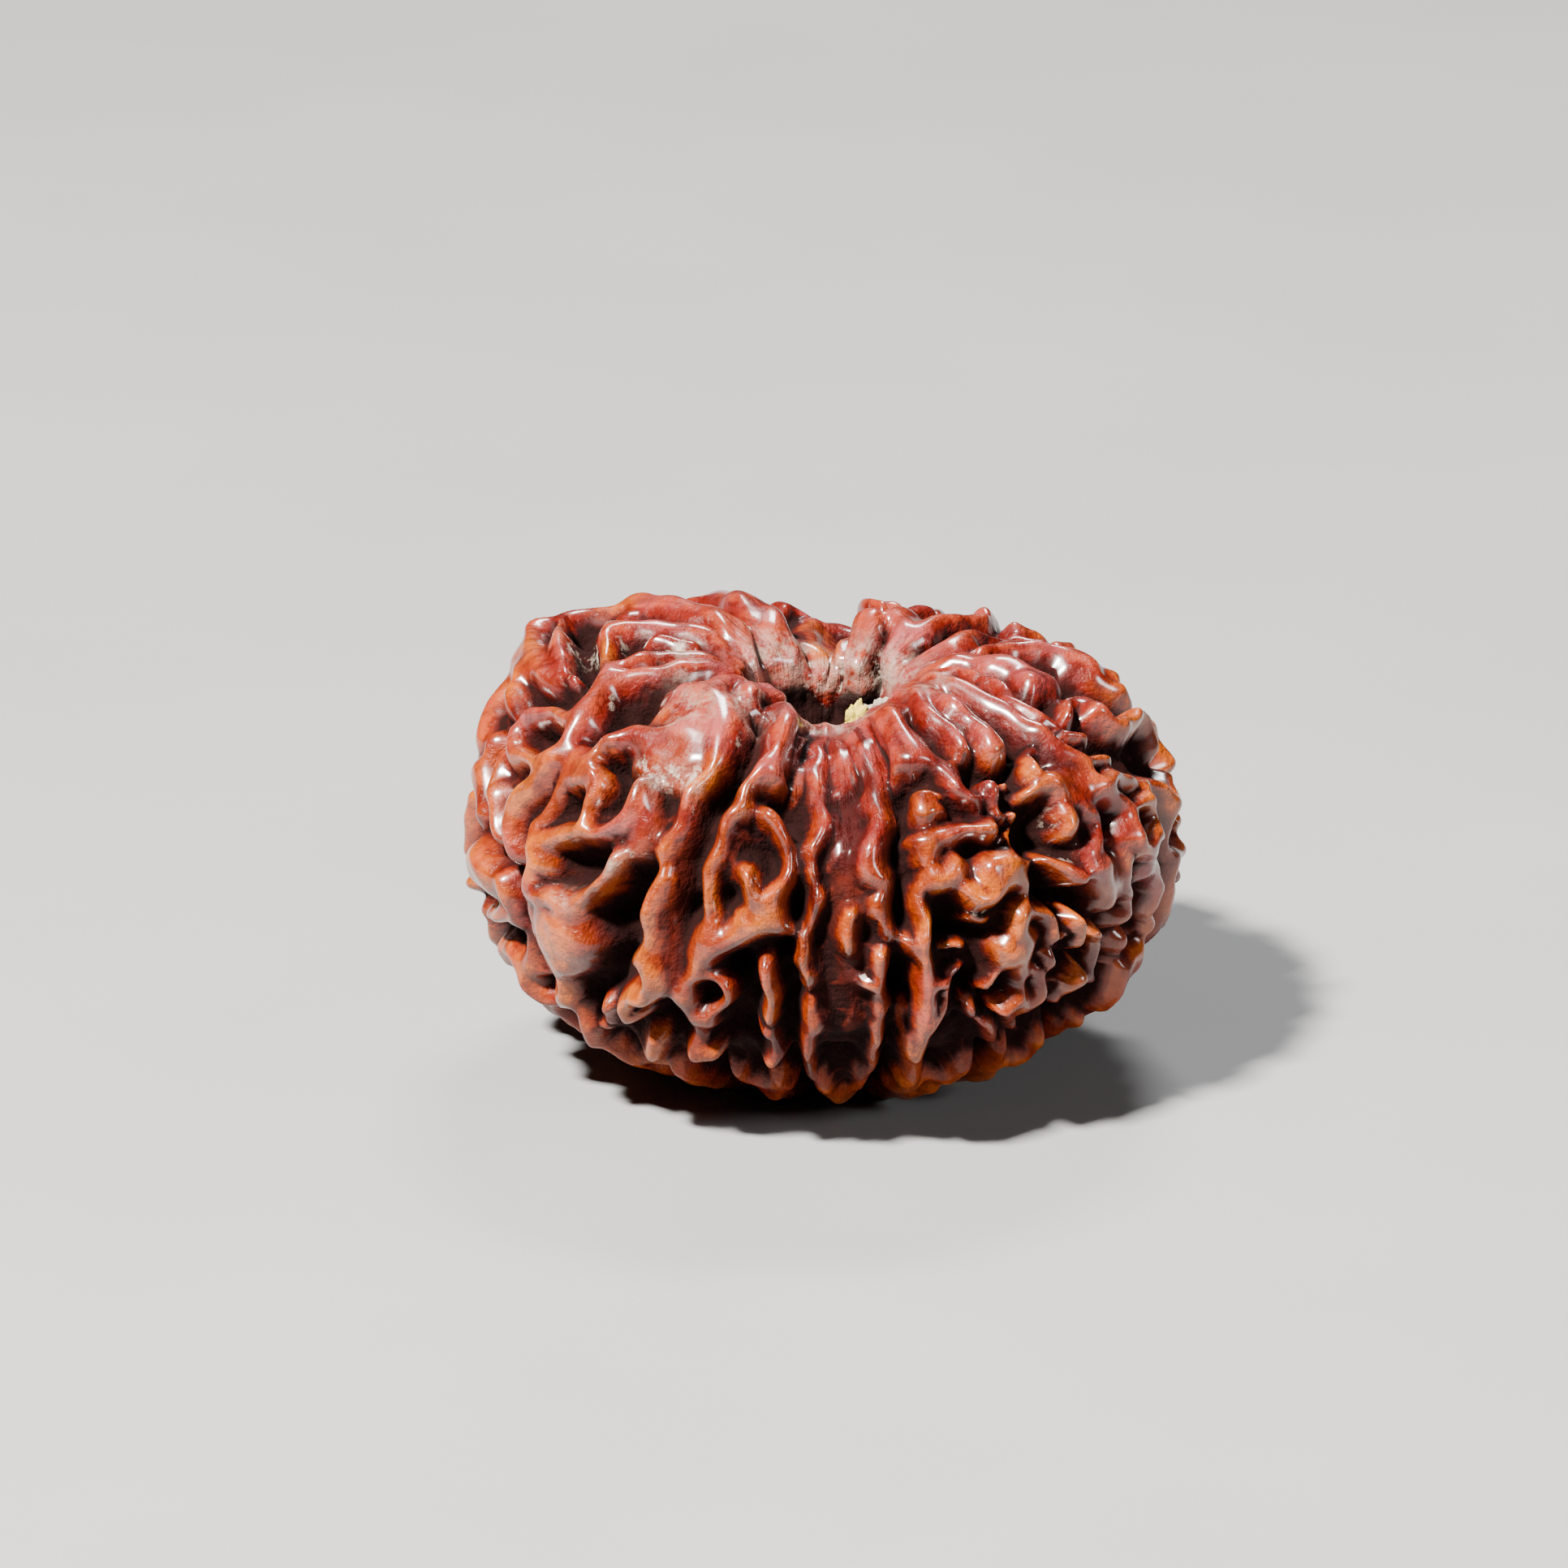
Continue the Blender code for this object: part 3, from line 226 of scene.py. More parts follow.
# Ridges read off the seed: half-width in millimetres, share of the full height, and places along the ridge.
CROWN_LEFT = [
    (1.25, 1.0, [(-147, 1.1), (-148, 3), (-150, 4.5), (-151, 6.5), (-152, 8.5), (-152, 10.5)]),
    (0.95, 1.15, [(-118, 1.2), (-119, 3), (-124, 3.8), (-127.5, 5.2), (-128, 7), (-129, 8.8), (-131, 10.6)]),
    (0.8, 1.0, [(-101, 3.4), (-106, 4.6), (-107, 6), (-105, 7.5), (-101, 8.7)]),
    (0.5, 1.0, [(-92, 5.5), (-94, 7.2)]),
    (0.6, 1.0, [(-76, 3.6), (-76, 5.8), (-78, 7.2), (-76.5, 8.3), (-73, 9.3)]),
    (0.75, 1.0, [(-58, 4.4), (-61, 5.4), (-64, 6.8), (-63.5, 8.2), (-68, 9.6)]),
    (0.55, 1.0, [(-121, 9.8), (-106, 9.3), (-92, 9.2), (-80, 9.4), (-71, 9.7)]),
    (0.4, 1.0, [(-118, 11.8), (-103, 11.3), (-90, 11), (-82, 10.9)]),
    (0.75, 1.0, [(-128, 10.8), (-122, 12), (-113, 12.9), (-103, 12.6), (-95, 12.2), (-86, 11.7)]),
    (0.6, 1.0, [(-105, 13.7), (-98, 13.4), (-93, 13)]),
    (0.9, 1.0, [(-99, 14.5), (-95, 15.3), (-90, 16)]),
    (0.7, 1.0, [(-90, 13.6), (-85, 14), (-80, 14.5)]),
    (0.8, 1.0, [(-37, 4.3), (-40, 5.6), (-40, 7), (-38, 8.5)]),
    (0.7, 1.0, [(-25, 4.5), (-29.5, 6), (-27, 7.2), (-22, 8)]),
]
CROWN_RIGHT = [
    (0.6, 1.0, [(-176, 1), (-177, 2.8), (-177, 5), (-178, 7), (-178, 9.5)]),
    (0.4, 1.0, [(173, 4), (173.5, 5.4)]),
    (0.55, 1.0, [(161, 1), (162, 2.6), (164, 4.5), (165, 6)]),
    (0.45, 1.0, [(153, 1.3), (155, 3), (157, 4.6), (158.5, 6.2)]),
    (0.4, 1.0, [(165, 6), (162, 6.6), (158.5, 6.2)]),
    (0.5, 1.0, [(152, 6.2), (151, 8)]),
    (0.8, 1.0, [(125, 1.2), (128, 3), (137, 4.4), (143, 5.6), (149, 7.3)]),
    (0.6, 1.0, [(134, 5.6), (137, 7), (138, 8.6), (136, 10)]),
    (1.0, 1.0, [(110, 1.8), (111, 3.2), (114, 5.5), (118, 6.6)]),
    (0.5, 1.0, [(121, 6.5), (124, 8), (126, 9.6)]),
    (0.6, 1.0, [(127, 10.3), (124, 11.5)]),
    (0.6, 1.0, [(119, 11.3), (116, 12.3)]),
    (0.65, 1.0, [(110, 12.6), (107, 13.6)]),
    (0.6, 1.0, [(103, 6.8), (108.5, 7.5), (112, 8.6), (109.5, 9.8), (107, 11), (106, 12.3), (107.5, 13.3)]),
    (0.9, 1.0, [(97, 3.6), (93, 6.2), (88.5, 7.6), (83, 8.8)]),
    (0.95, 1.0, [(80, 9.1), (84, 9.2)]),
    (0.35, 1.0, [(86, 3.4), (82, 5), (74.5, 6.5), (68.5, 7.8), (64, 8.8)]),
    (0.4, 1.0, [(62.5, 8.3), (61, 9.6), (60.5, 10.8)]),
    (0.6, 1.0, [(63, 3.4), (60, 4.4), (56.5, 6), (55, 7.5), (54, 9), (54, 10.5), (55, 12), (55.5, 12.6)]),
    (0.85, 1.0, [(48, 4), (45, 5.2), (41.5, 7), (41, 8.7), (40.5, 10.2), (40, 11.6)]),
    (0.5, 1.0, [(38, 4.6), (34, 6.5), (31.5, 8.3), (31.8, 9.8), (32.5, 11.4)]),
]
LEFT_FACES = [
    (0.55, 1.0, [(-63, 12.3), (-70, 12.6), (-76, 13.3), (-77.5, 14.1), (-75, 14.9), (-69, 14.9),
                 (-63, 14.4), (-59.5, 13.5), (-60, 12.6), (-63, 12.3)]),
    (0.7, 1.0, [(-68, 10), (-65, 11), (-62, 11.8), (-59.5, 12.8)]),
    (0.5, 1.0, [(-86, 15.4), (-84, 16.4), (-82, 17.4)]),
    (0.5, 1.0, [(-79, 15.5), (-77, 16.3), (-75.5, 17.2)]),
    (0.7, 1.0, [(-86, 16.9), (-84, 17.8), (-80, 18.4)]),
    (0.5, 1.0, [(-74, 16.8), (-71.5, 17.8), (-69, 18.6)]),
    (0.6, 1.0, [(-60, 14.2), (-62, 15.3), (-65, 16.3), (-65.5, 17.2), (-64.5, 18), (-63, 18.8)]),
    (1.3, 1.0, [(-79, 20.4), (-71.5, 20.6)]),
    (0.6, 1.0, [(-66, 20), (-64.5, 21.4)]),
    (0.5, 1.0, [(-64, 22), (-70, 22.3), (-80, 23)]),
    (0.9, 1.0, [(-57.5, 18.2), (-57, 19), (-58, 19.9)]),
    (0.5, 1.0, [(-57, 18), (-53, 18.4)]),
    (1.5, 1.0, [(-46, 8.8), (-38, 9.2), (-30, 9.4), (-25, 10)]),
    (0.9, 1.0, [(-44, 9.8), (-36, 10.4), (-29, 10.8)]),
    (0.8, 1.0, [(-26, 10), (-23.5, 12)]),
    (0.6, 1.0, [(-51, 12.2), (-46, 11.5), (-40, 11.2), (-35, 10.9)]),
    (1.0, 0.82, [(-45, 11.7), (-37, 11.9), (-29.5, 12)]),
    (0.6, 0.6, [(-44, 12.8), (-36, 13.2), (-29, 13.3)]),
    (0.55, 1.0, [(-50, 12.4), (-54, 13.2), (-56, 14.2), (-57, 15.4), (-58, 16.3), (-59.5, 17.1),
                 (-57.5, 17.7), (-52.5, 17.2), (-48, 16.7), (-44, 16.4), (-40.5, 16), (-38, 15.5),
                 (-36.5, 14.8), (-36.8, 14)]),
    (0.5, 1.0, [(-51, 13.4), (-52.5, 14.2), (-53.5, 15)]),
    (0.45, 1.0, [(-50.5, 14.5), (-47.5, 13.9), (-45.5, 14.3), (-47.3, 15.1), (-47, 15.8), (-45.3, 16.3)]),
    (0.7, 0.75, [(-35, 14.3), (-34, 15.5), (-34.5, 16.8)]),
    (1.8, 1.0, [(-48, 21.4), (-51.5, 22.1)]),
    (0.5, 1.0, [(-37.5, 17.3), (-39.5, 18.2), (-42.5, 19), (-47, 19.7), (-51, 19.6), (-54, 19.9)]),
    (0.5, 1.0, [(-58.5, 20.9), (-58, 21.8)]),
    (0.6, 1.0, [(-60, 22.3), (-62.5, 23.3), (-64, 24.3), (-66, 25.3), (-64.5, 26), (-61, 26.4)]),
    (0.4, 1.0, [(-62, 24.6), (-58.5, 24.3), (-56.5, 24.8), (-53, 24.4), (-51.5, 23.8)]),
    (0.45, 1.0, [(-51.5, 23.8), (-51.5, 24.6), (-54.5, 25.3), (-58, 25.8)]),
    (0.65, 1.0, [(-50, 25.6), (-51, 26.6), (-52.5, 27.4)]),
    (0.4, 1.0, [(-42.5, 24.4), (-43.5, 25.4)]),
    (0.3, 1.0, [(-45.5, 26.2)]),
]
COLUMN = [
    (0.5, 1.0, [(-23.5, 12.6), (-25, 13.6), (-26.3, 14.8), (-28, 16), (-29.3, 16.7)]),
    (0.6, 1.0, [(-28.5, 17.4), (-30, 18.4), (-31, 19.3), (-30.3, 20.3), (-31, 21.2), (-29.5, 22.3)]),
    (0.4, 1.0, [(-31.5, 20.9), (-33.7, 21.5)]),
    (0.5, 1.0, [(-29, 22.4), (-31.5, 23), (-34.5, 23.3), (-37, 24), (-37.8, 24.8)]),
    (0.3, 1.0, [(-35.5, 24.8), (-33, 24.4)]),
    (0.6, 1.0, [(-32.5, 25.8), (-34.5, 26.5), (-36.5, 27.2)]),
    (0.5, 0.6, [(-24.5, 14), (-26, 17), (-27.5, 20), (-27, 23)]),
]
LADDER_FACE = [
    (0.5, 1.0, [(-15, 4.8), (-13.5, 6.8), (-12.5, 8.8), (-11.5, 10.5), (-13.5, 12.2), (-16, 13.2),
                (-16.5, 14), (-19, 14.8), (-19.5, 16), (-21.2, 17), (-20.3, 18.1), (-20.5, 19.2),
                (-22, 20.4), (-23.3, 21.4), (-24.5, 22.8), (-25, 24), (-24, 25), (-24.5, 25.6),
                (-25.5, 26.6)]),
    (0.95, 1.0, [(-13.5, 6.6), (-12, 8.8), (-10.5, 10.5), (-11, 11.6)]),
    (0.5, 1.0, [(-7.5, 12)]),
    (0.5, 1.0, [(-11.2, 14.1), (-8.5, 14.1), (-7, 14.8), (-6.8, 16), (-7.6, 17.1), (-9.5, 17.9),
                (-12, 17.9), (-13.8, 17.1)]),
    (0.6, 1.0, [(-8.5, 17.6), (-8, 18.6), (-7.3, 19.3)]),
    (0.8, 1.0, [(-11, 18.4), (-9.5, 18.8)]),
    (0.65, 1.0, [(-8.5, 19), (-13, 19.3), (-16, 19.9), (-19.5, 20.7), (-22.5, 21)]),
    (0.8, 1.0, [(-20.5, 19.8), (-21, 20.8)]),
    (0.3, 1.0, [(-15, 18.9), (-13.5, 18.6)]),
    (0.38, 1.0, [(-23, 21.9), (-20, 21.8), (-17.6, 22.1), (-16.7, 22.7), (-18, 23.3), (-21, 23.9),
                 (-24, 24.3)]),
    (0.6, 1.0, [(-24, 24.2), (-21.5, 24.3)]),
    (0.4, 1.0, [(-25.5, 26.6), (-23, 26.8), (-21.3, 26.1)]),
    (0.45, 1.0, [(-10, 20.8), (-9.6, 22.3), (-9.3, 23.8)]),
    (0.4, 1.0, [(-11.5, 24.8), (-9.5, 24.8), (-9, 25.8), (-11.3, 26.7)]),
    (0.25, 0.95, [(-9, 4.6), (-8.3, 6), (-7.8, 7.5), (-7.5, 9.5), (-7.2, 11)]),
    (0.25, 0.9, [(-4.5, 4.6), (-4.3, 6.5), (-4.2, 8.5), (-4, 10.5), (-4.5, 12)]),
]
NARROW_FACES = [
    (0.32, 1.0, [(-0.4, 4.8), (-0.5, 7), (-0.6, 9.8), (-0.6, 12.5), (-0.8, 14), (-2.2, 15.4), (-2.4, 16.6)]),
    (0.35, 1.0, [(-1.8, 17.2), (-2.8, 18.8), (-4, 20.2), (-4.3, 21), (-2.8, 21.4), (-3.6, 22.1)]),
    (0.4, 1.0, [(-2.6, 22.9), (-2.3, 24), (-3.5, 25.2), (-3.8, 27), (-3.5, 28.4)]),
    (0.26, 0.9, [(4.2, 4.7), (3.8, 6.3), (3.5, 8), (3.4, 11)]),
    (0.2, 0.6, [(2, 12.5), (2.3, 14.5), (1.3, 15.6)]),
    (0.3, 1.0, [(4, 18.2), (3.9, 20.3)]),
    (1.0, 0.35, [(4, 9), (4, 14), (4.2, 20), (4, 26)]),
    (0.6, 1.0, [(11, 5), (9.8, 7), (9.2, 9.3), (8.8, 11), (9.3, 12.3), (9.5, 13.6)]),
    (0.75, 1.0, [(9.3, 13.8), (8.5, 15.2), (9, 16.3)]),
    (0.4, 1.0, [(9.8, 16.8), (10.4, 18), (11, 19.4)]),
    (0.35, 1.0, [(7.8, 17.6), (8.3, 18.3)]),
    (0.4, 1.0, [(9.6, 20.4), (9.8, 21.3)]),
    (0.45, 1.0, [(9.6, 21.6), (9.8, 23.4)]),
    (0.38, 1.0, [(9.8, 24), (9.7, 25.6)]),
    (0.28, 1.0, [(9.4, 26.1), (9.4, 27), (10, 27.8)]),
    (0.25, 1.0, [(6.4, 21.7), (8.5, 22)]),
    (0.42, 1.0, [(16, 17.4), (16.1, 18.6), (16.5, 19.8)]),
    (0.5, 1.0, [(16.8, 20), (17, 21.2), (16.8, 22.4), (17, 23.4), (17.6, 24.6)]),
    (0.55, 1.0, [(17.4, 24.8), (16.2, 25.8), (16.8, 26.8), (18.4, 28.3)]),
    (0.3, 1.0, [(19, 21.9), (21, 22.3), (20.8, 23.2), (19, 24)]),
    (0.25, 1.0, [(12.7, 19.7), (14.6, 20.5)]),
    (0.25, 1.0, [(13.6, 23.4), (13.9, 24.6), (15.2, 25.2)]),
    (0.2, 1.0, [(21, 20.5), (23, 20.3), (24.3, 20.5)]),
    (0.2, 1.0, [(20.5, 22), (24, 21.6)]),
    (0.35, 1.0, [(18, 5), (16, 6.8), (15, 8.7), (15.3, 10), (14, 11.3)]),
]
HOOKED_FACE = [
    (1.0, 1.0, [(25, 4.8), (21.5, 6.8), (18.8, 8.7), (20.5, 10), (21.5, 11)]),
    (0.8, 1.0, [(18.5, 11.3), (22, 11.4), (25.5, 11.8), (27.3, 12.5)]),
    (0.5, 1.0, [(26.5, 13.1), (28.3, 13.7), (30.3, 13.9)]),
    (0.6, 0.9, [(17, 13.8), (19.3, 14.1)]),
    (0.2, 1.0, [(16.5, 12.9), (22.3, 13.4)]),
    (0.4, 0.8, [(22.5, 14.2)]),
    (0.48, 1.0, [(15.8, 15.1), (20, 15.3), (26, 15.5), (31, 15.3)]),
    (0.55, 1.0, [(29.5, 15.4)]),
    (0.5, 1.0, [(16.5, 15.9), (18.8, 15.8)]),
    (0.55, 1.0, [(17.8, 17), (20.3, 17.4), (23.3, 16.8)]),
    (0.9, 1.0, [(31, 17.4), (34, 17.6)]),
    (0.45, 1.0, [(28, 17.6), (29.3, 16.9), (32.3, 16.6), (34.8, 17.1), (35.9, 18), (35.3, 19)]),
    (0.5, 1.0, [(24.3, 18), (26.8, 18.5), (29.5, 18.1)]),
    (0.5, 1.0, [(32.8, 19.2), (34.6, 19.1)]),
    (0.25, 1.0, [(25, 19.1), (27.6, 19.5)]),
    (0.95, 1.0, [(31.5, 21), (34.8, 20.7)]),
    (0.6, 1.0, [(33.5, 19.7), (36, 20.6), (35.8, 21.5)]),
    (0.45, 1.0, [(35, 22.1), (35.8, 23.2), (36.8, 24.4), (37, 25.2)]),
    (0.38, 1.0, [(31.2, 23.9), (33.5, 23.6), (35.2, 23.3)]),
    (0.22, 1.0, [(29.6, 22.1), (28.2, 22.9)]),
    (0.18, 1.0, [(33, 15.9), (37, 15.6)]),
    (0.25, 1.0, [(35, 16.1), (36.5, 16.8), (38, 17.3)]),
    (0.35, 1.0, [(31.5, 25.3), (33.5, 25.8), (36, 27)]),
    (0.35, 1.0, [(37, 25.3), (39, 26.3)]),
    (0.3, 1.0, [(25.5, 23.6), (26.3, 24.3)]),
    (0.3, 1.0, [(28.2, 24.7), (30, 25)]),
    (0.5, 1.0, [(33.5, 13.2), (35, 13.8)]),
    (0.32, 1.0, [(35, 13.9), (34.8, 15)]),
    (0.3, 1.0, [(38.5, 13.2)]),
    (0.38, 1.0, [(37.5, 14.9)]),
]
LUMP_FACE = [
    (0.5, 1.0, [(44, 13), (46.5, 12.4), (49, 12.1)]),
    (0.75, 1.0, [(46.8, 13.9), (49.5, 13.6), (52.3, 14.1), (53.8, 14.9), (53.8, 15.7)]),
    (0.5, 1.0, [(47.3, 14.5), (50, 14.8), (52.5, 15.2)]),
    (0.35, 0.8, [(41, 14.1), (46.5, 13.9)]),
    (0.5, 1.0, [(47, 15.4), (48.3, 15.9), (46.5, 16.3)]),
    (0.45, 1.0, [(53.5, 15.9), (55.5, 16.5), (54, 17.1), (50.3, 17.4)]),
    (0.45, 1.0, [(41, 17.3), (44.5, 18), (47.3, 18.7)]),
    (0.55, 1.0, [(53.3, 12.6), (57, 13.4), (58.2, 14.2), (57.5, 15)]),
    (1.05, 1.0, [(52.5, 18.4), (54.8, 19), (57.3, 19.8)]),
    (0.8, 1.0, [(56, 20.3), (59, 20.4)]),
    (0.4, 1.0, [(63, 18), (59.3, 18.2), (60.3, 18.9), (62, 19.8), (63.5, 20.6), (65, 21.6), (62.5, 22)]),
    (0.42, 1.0, [(37, 19.3), (39.5, 19.4), (41, 20.1), (41, 21)]),
    (0.3, 1.0, [(39.8, 21.6), (41.6, 22.3)]),
    (0.33, 1.0, [(37.6, 22.2), (39.5, 22.7), (40, 23.4), (38.8, 24.6)]),
    (0.42, 1.0, [(45.8, 20.4), (47.5, 21.1), (48.4, 21.9)]),
    (0.2, 1.0, [(42, 21), (44.3, 21.3)]),
    (0.48, 1.0, [(53, 21.6), (55, 22.4), (55.6, 23.4), (57.5, 24.6)]),
    (0.35, 1.0, [(49.5, 23.1), (53, 24), (58.5, 24.8)]),
    (0.3, 1.0, [(45.2, 23.4), (46.4, 24), (46.3, 24.9)]),
    (0.33, 1.0, [(47.7, 23.3), (49, 23.9)]),
]
RIGHT_FACES = [
    (0.45, 1.0, [(59.5, 14.8), (65, 14.9), (69, 15.5)]),
    (0.3, 1.0, [(69, 15.3), (75, 16.1), (80, 16.8)]),
    (0.55, 1.0, [(58.3, 15.2), (61.5, 15.8), (64, 16.4), (62.3, 17.2), (59.5, 17.6)]),
    (0.45, 1.0, [(64.5, 16.7), (70, 16.6), (73.3, 17.2), (72.5, 18), (67.5, 18.4), (63.5, 18.2),
                 (64.5, 16.7)]),
    (0.62, 1.0, [(75, 16.2), (79, 16.8), (80.5, 17.6)]),
    (0.35, 1.0, [(73.3, 18.7), (76, 19)]),
    (0.6, 1.0, [(67, 19.9), (71, 20.3), (74, 21.2), (73.5, 22.2)]),
    (0.35, 1.0, [(66, 18.9), (71, 19.4), (72.5, 20)]),
    (0.45, 1.0, [(89, 13.6), (94, 14.8), (93, 16.3)]),
    (0.55, 1.0, [(80, 13.2), (84, 13.8), (88, 14)]),
    (0.3, 1.0, [(61, 13.7), (66, 14)]),
    (0.5, 1.0, [(69, 11.3), (73, 10.7), (78, 10.8), (80, 11.5), (75, 12.2)]),
    (0.5, 1.0, [(75.5, 12.2), (77.5, 13), (80, 13.8)]),
    (0.38, 1.0, [(62, 12), (65.3, 12.6)]),
    (0.35, 1.0, [(63, 11.2)]),
]
# Stretches with no ridge of their own to read: left and right azimuth, first and last station.
NETTED_FACES = [
    (78, 97, 17.5, 28.5), (97, 125, 11.0, 28.5), (125, 148, 11.0, 28.5), (148, 176, 8.8, 28.5),
    (176, 193, 9.8, 28.5), (193, 220, 11.0, 28.5), (220, 241, 12.6, 28.5), (241, 278, 17.5, 28.5),
    (278, 297, 24.2, 28.5), (62, 78, 23.2, 28.5),
]
# Deeper hollows: radius in millimetres, azimuth, station.
DEEP_PITS = [
    (0.6, -50, 15.9), (0.6, -42, 15), (0.5, -49, 13.2), (0.5, -43, 13.2), (0.85, -69, 13.8),
    (0.85, -62, 13.5), (0.7, -104, 10.1), (0.7, -88, 10), (0.4, -105, 11.9), (0.45, -86, 12),
    (0.45, -79, 11.8), (0.4, -73, 11.2), (0.7, -56, 9.6), (0.7, -49, 10), (0.9, -50, 18.4),
    (0.9, -44.5, 18), (1.2, -38, 18.5), (1.2, -35, 20), (1.2, -36, 22), (0.8, -86, 19.2),
    (0.8, -74, 19), (0.35, -60.5, 19.2), (0.8, -13, 15.5), (0.8, -10, 15.6), (0.5, -9, 13),
    (0.45, -17.5, 18.2), (0.5, -20, 22.6), (1.0, -14, 22), (1.0, -15, 24.5), (0.45, 25, 16.8),
    (1.0, 21, 19), (1.0, 27, 20.5), (1.2, 23, 22.5), (1.2, 28, 23), (0.9, 41, 15.6),
    (0.55, 68, 17.8), (0.8, 46, 11), (1.0, 44, 19.3), (1.0, 48, 19.6), (0.8, -51, 6.8),
    (0.6, -167, 4.8), (0.5, 148, 5.2), (0.4, 108, 6.8), (0.7, 96, 11),
]
PIT_EXTRA = 0.4


def smooth_curve(points, steps):
    """A Catmull-Rom curve through the points."""
    given = np.array(points, float)
    run = np.vstack([2 * given[0] - given[1], given, 2 * given[-1] - given[-2]])
    share = np.linspace(0, 1, steps, endpoint=False)[:, None]
    pieces = []
    for before, start, end, after in zip(run, run[1:], run[2:], run[3:]):
        pieces.append(0.5 * (2 * start + (end - before) * share
                             + (2 * before - 5 * start + 4 * end - after) * share**2
                             + (3 * start - before - 3 * end + after) * share**3))
    pieces.append(given[-1:])
    return np.vstack(pieces)


SKIN_CURVE = smooth_curve(SKIN_PROFILE, PROFILE_STEPS)
SKIN_STATION = np.concatenate([[0.0], np.cumsum(np.linalg.norm(np.diff(SKIN_CURVE, axis=0), axis=1))])
SKIN_LENGTH = SKIN_STATION[-1]
SKIN_WAY = np.gradient(SKIN_CURVE, axis=0)
SKIN_OUT = np.stack([-SKIN_WAY[:, 1], SKIN_WAY[:, 0]], axis=-1)
SKIN_OUT = SKIN_OUT / np.linalg.norm(SKIN_OUT, axis=1)[:, None]


def ease(low, high, value):
    """0 below low, 1 above high, and a smooth rise between them."""
    share = np.clip((value - low) / (high - low), 0.0, 1.0)
    return share * share * (3 - 2 * share)


def turn_gap(azimuth, centre):
    """Azimuth measured from a centre, between -180 and 180 degrees."""
    return (azimuth - centre + 180.0) % 360.0 - 180.0


def hump(azimuth, centre, width):
    return np.exp(-(turn_gap(azimuth, centre) / width) ** 2)


def skin(azimuth, station):
    """The smooth surface that the ridge tops follow, in millimetres."""
    radius = np.interp(station, SKIN_STATION, SKIN_CURVE[:, 0])
    height = np.interp(station, SKIN_STATION, SKIN_CURVE[:, 1])
    crown = np.clip((height - CROWN_FROM) / CROWN_SPAN, 0.0, 1.0) ** 1.5
    outwards = ease(4.5, 8.5, station)
    for centre, mouth_width, width, depth in CROWN_DIPS:
        spread = mouth_width + (width - mouth_width) * outwards
        height = height - crown * depth * hump(azimuth, centre, spread)
    for centre, width, share in GIRTH_SWELLS:
        radius = radius * (1 + share * hump(azimuth, centre, width))
    for centre, width, middle, reach, rise in BULGES:
        bulge = rise * hump(azimuth, centre, width) * np.exp(-((station - middle) / reach) ** 2)
        radius = radius + bulge * np.interp(station, SKIN_STATION, SKIN_OUT[:, 0])
        height = height + bulge * np.interp(station, SKIN_STATION, SKIN_OUT[:, 1])
    turn = np.radians(azimuth)
    return np.stack([radius * np.sin(turn), -radius * np.cos(turn), height], axis=-1)


def gap_to(places, azimuth, station):
    """Distance from each place to one point of the skin."""
    centre = skin(np.array([float(azimuth)]), np.array([float(station)]))
    return np.linalg.norm(places - centre, axis=1)


def from_ends(station):
    """Way along the skin to the nearer throat."""
    return np.minimum(station, SKIN_LENGTH - station)


def skin_normal(azimuth, station):
    """The outward direction of the skin, from two short steps along it."""
    across = skin(azimuth + 0.2, station) - skin(azimuth - 0.2, station)
    down = skin(azimuth, station + 0.05) - skin(azimuth, station - 0.05)
    normal = np.cross(down, across)
    return normal / np.linalg.norm(normal, axis=-1, keepdims=True)


def ripple(places, seed, shortest=2.6, longest=5.5):
    """A smooth unevenness between about -1 and 1, made of waves of the lengths given, in millimetres."""
    draw = random.Random(seed)
    total = np.zeros(len(places))
    for _ in range(RIPPLE_WAVES):
        way = np.array([draw.gauss(0, 1), draw.gauss(0, 1), draw.gauss(0, 1)])
        way *= 2 * math.pi / draw.uniform(shortest, longest) / np.linalg.norm(way)
        total += np.sin(places @ way + draw.uniform(0, 2 * math.pi))
    return total / math.sqrt(RIPPLE_WAVES)


def face_net(draw, left, right, first, last):
    """Two wavy, broken rims along the face's clefts, with rungs, stubs and knobs between them."""
    width = right - left
    phase = draw.uniform(0, 6)
    stations = np.arange(first, last, 1.2)
    rims = []
    ridges = []
    for side in (0.22, 0.78):
        wave = 0.07 * np.sin(phase + 5 * side + 0.9 * stations)
        azimuths = left + width * (side + wave + np.array([draw.uniform(-0.03, 0.03) for _ in stations]))
        rims.append(azimuths)
        start = 0
        while start < len(stations):
            end = start + draw.choice((1, 2, 3, 4))
            ridges.append((draw.uniform(0.5, 0.72), draw.uniform(0.88, 1.05),
                           list(zip(azimuths[start:end], stations[start:end]))))
            start = end
    station = first + draw.uniform(0.2, 0.8)
    while station < last:
        start = (np.interp(station, stations, rims[0]), station)
        end_station = station + draw.uniform(-0.9, 0.9)
        end = (np.interp(end_station, stations, rims[1]), end_station)
        middle = ((start[0] + end[0]) / 2 + draw.uniform(-2, 2), station + draw.uniform(-0.9, 0.9))
        kind = draw.random()
        if kind < 0.45:
            ridges.append((draw.uniform(0.4, 0.6), 0.95, [start, middle, end]))
        elif kind < 0.65:
            ridges.append((draw.uniform(0.45, 0.6), 0.92, [start, middle]))
        elif kind < 0.85:
            ridges.append((draw.uniform(0.45, 0.6), 0.92, [middle, end]))
        else:
            ridges.append((draw.uniform(0.6, 0.85), 0.95, [middle, (middle[0] + 2, middle[1] + 0.6)]))
        station += draw.uniform(1.8, 2.8)
    return ridges


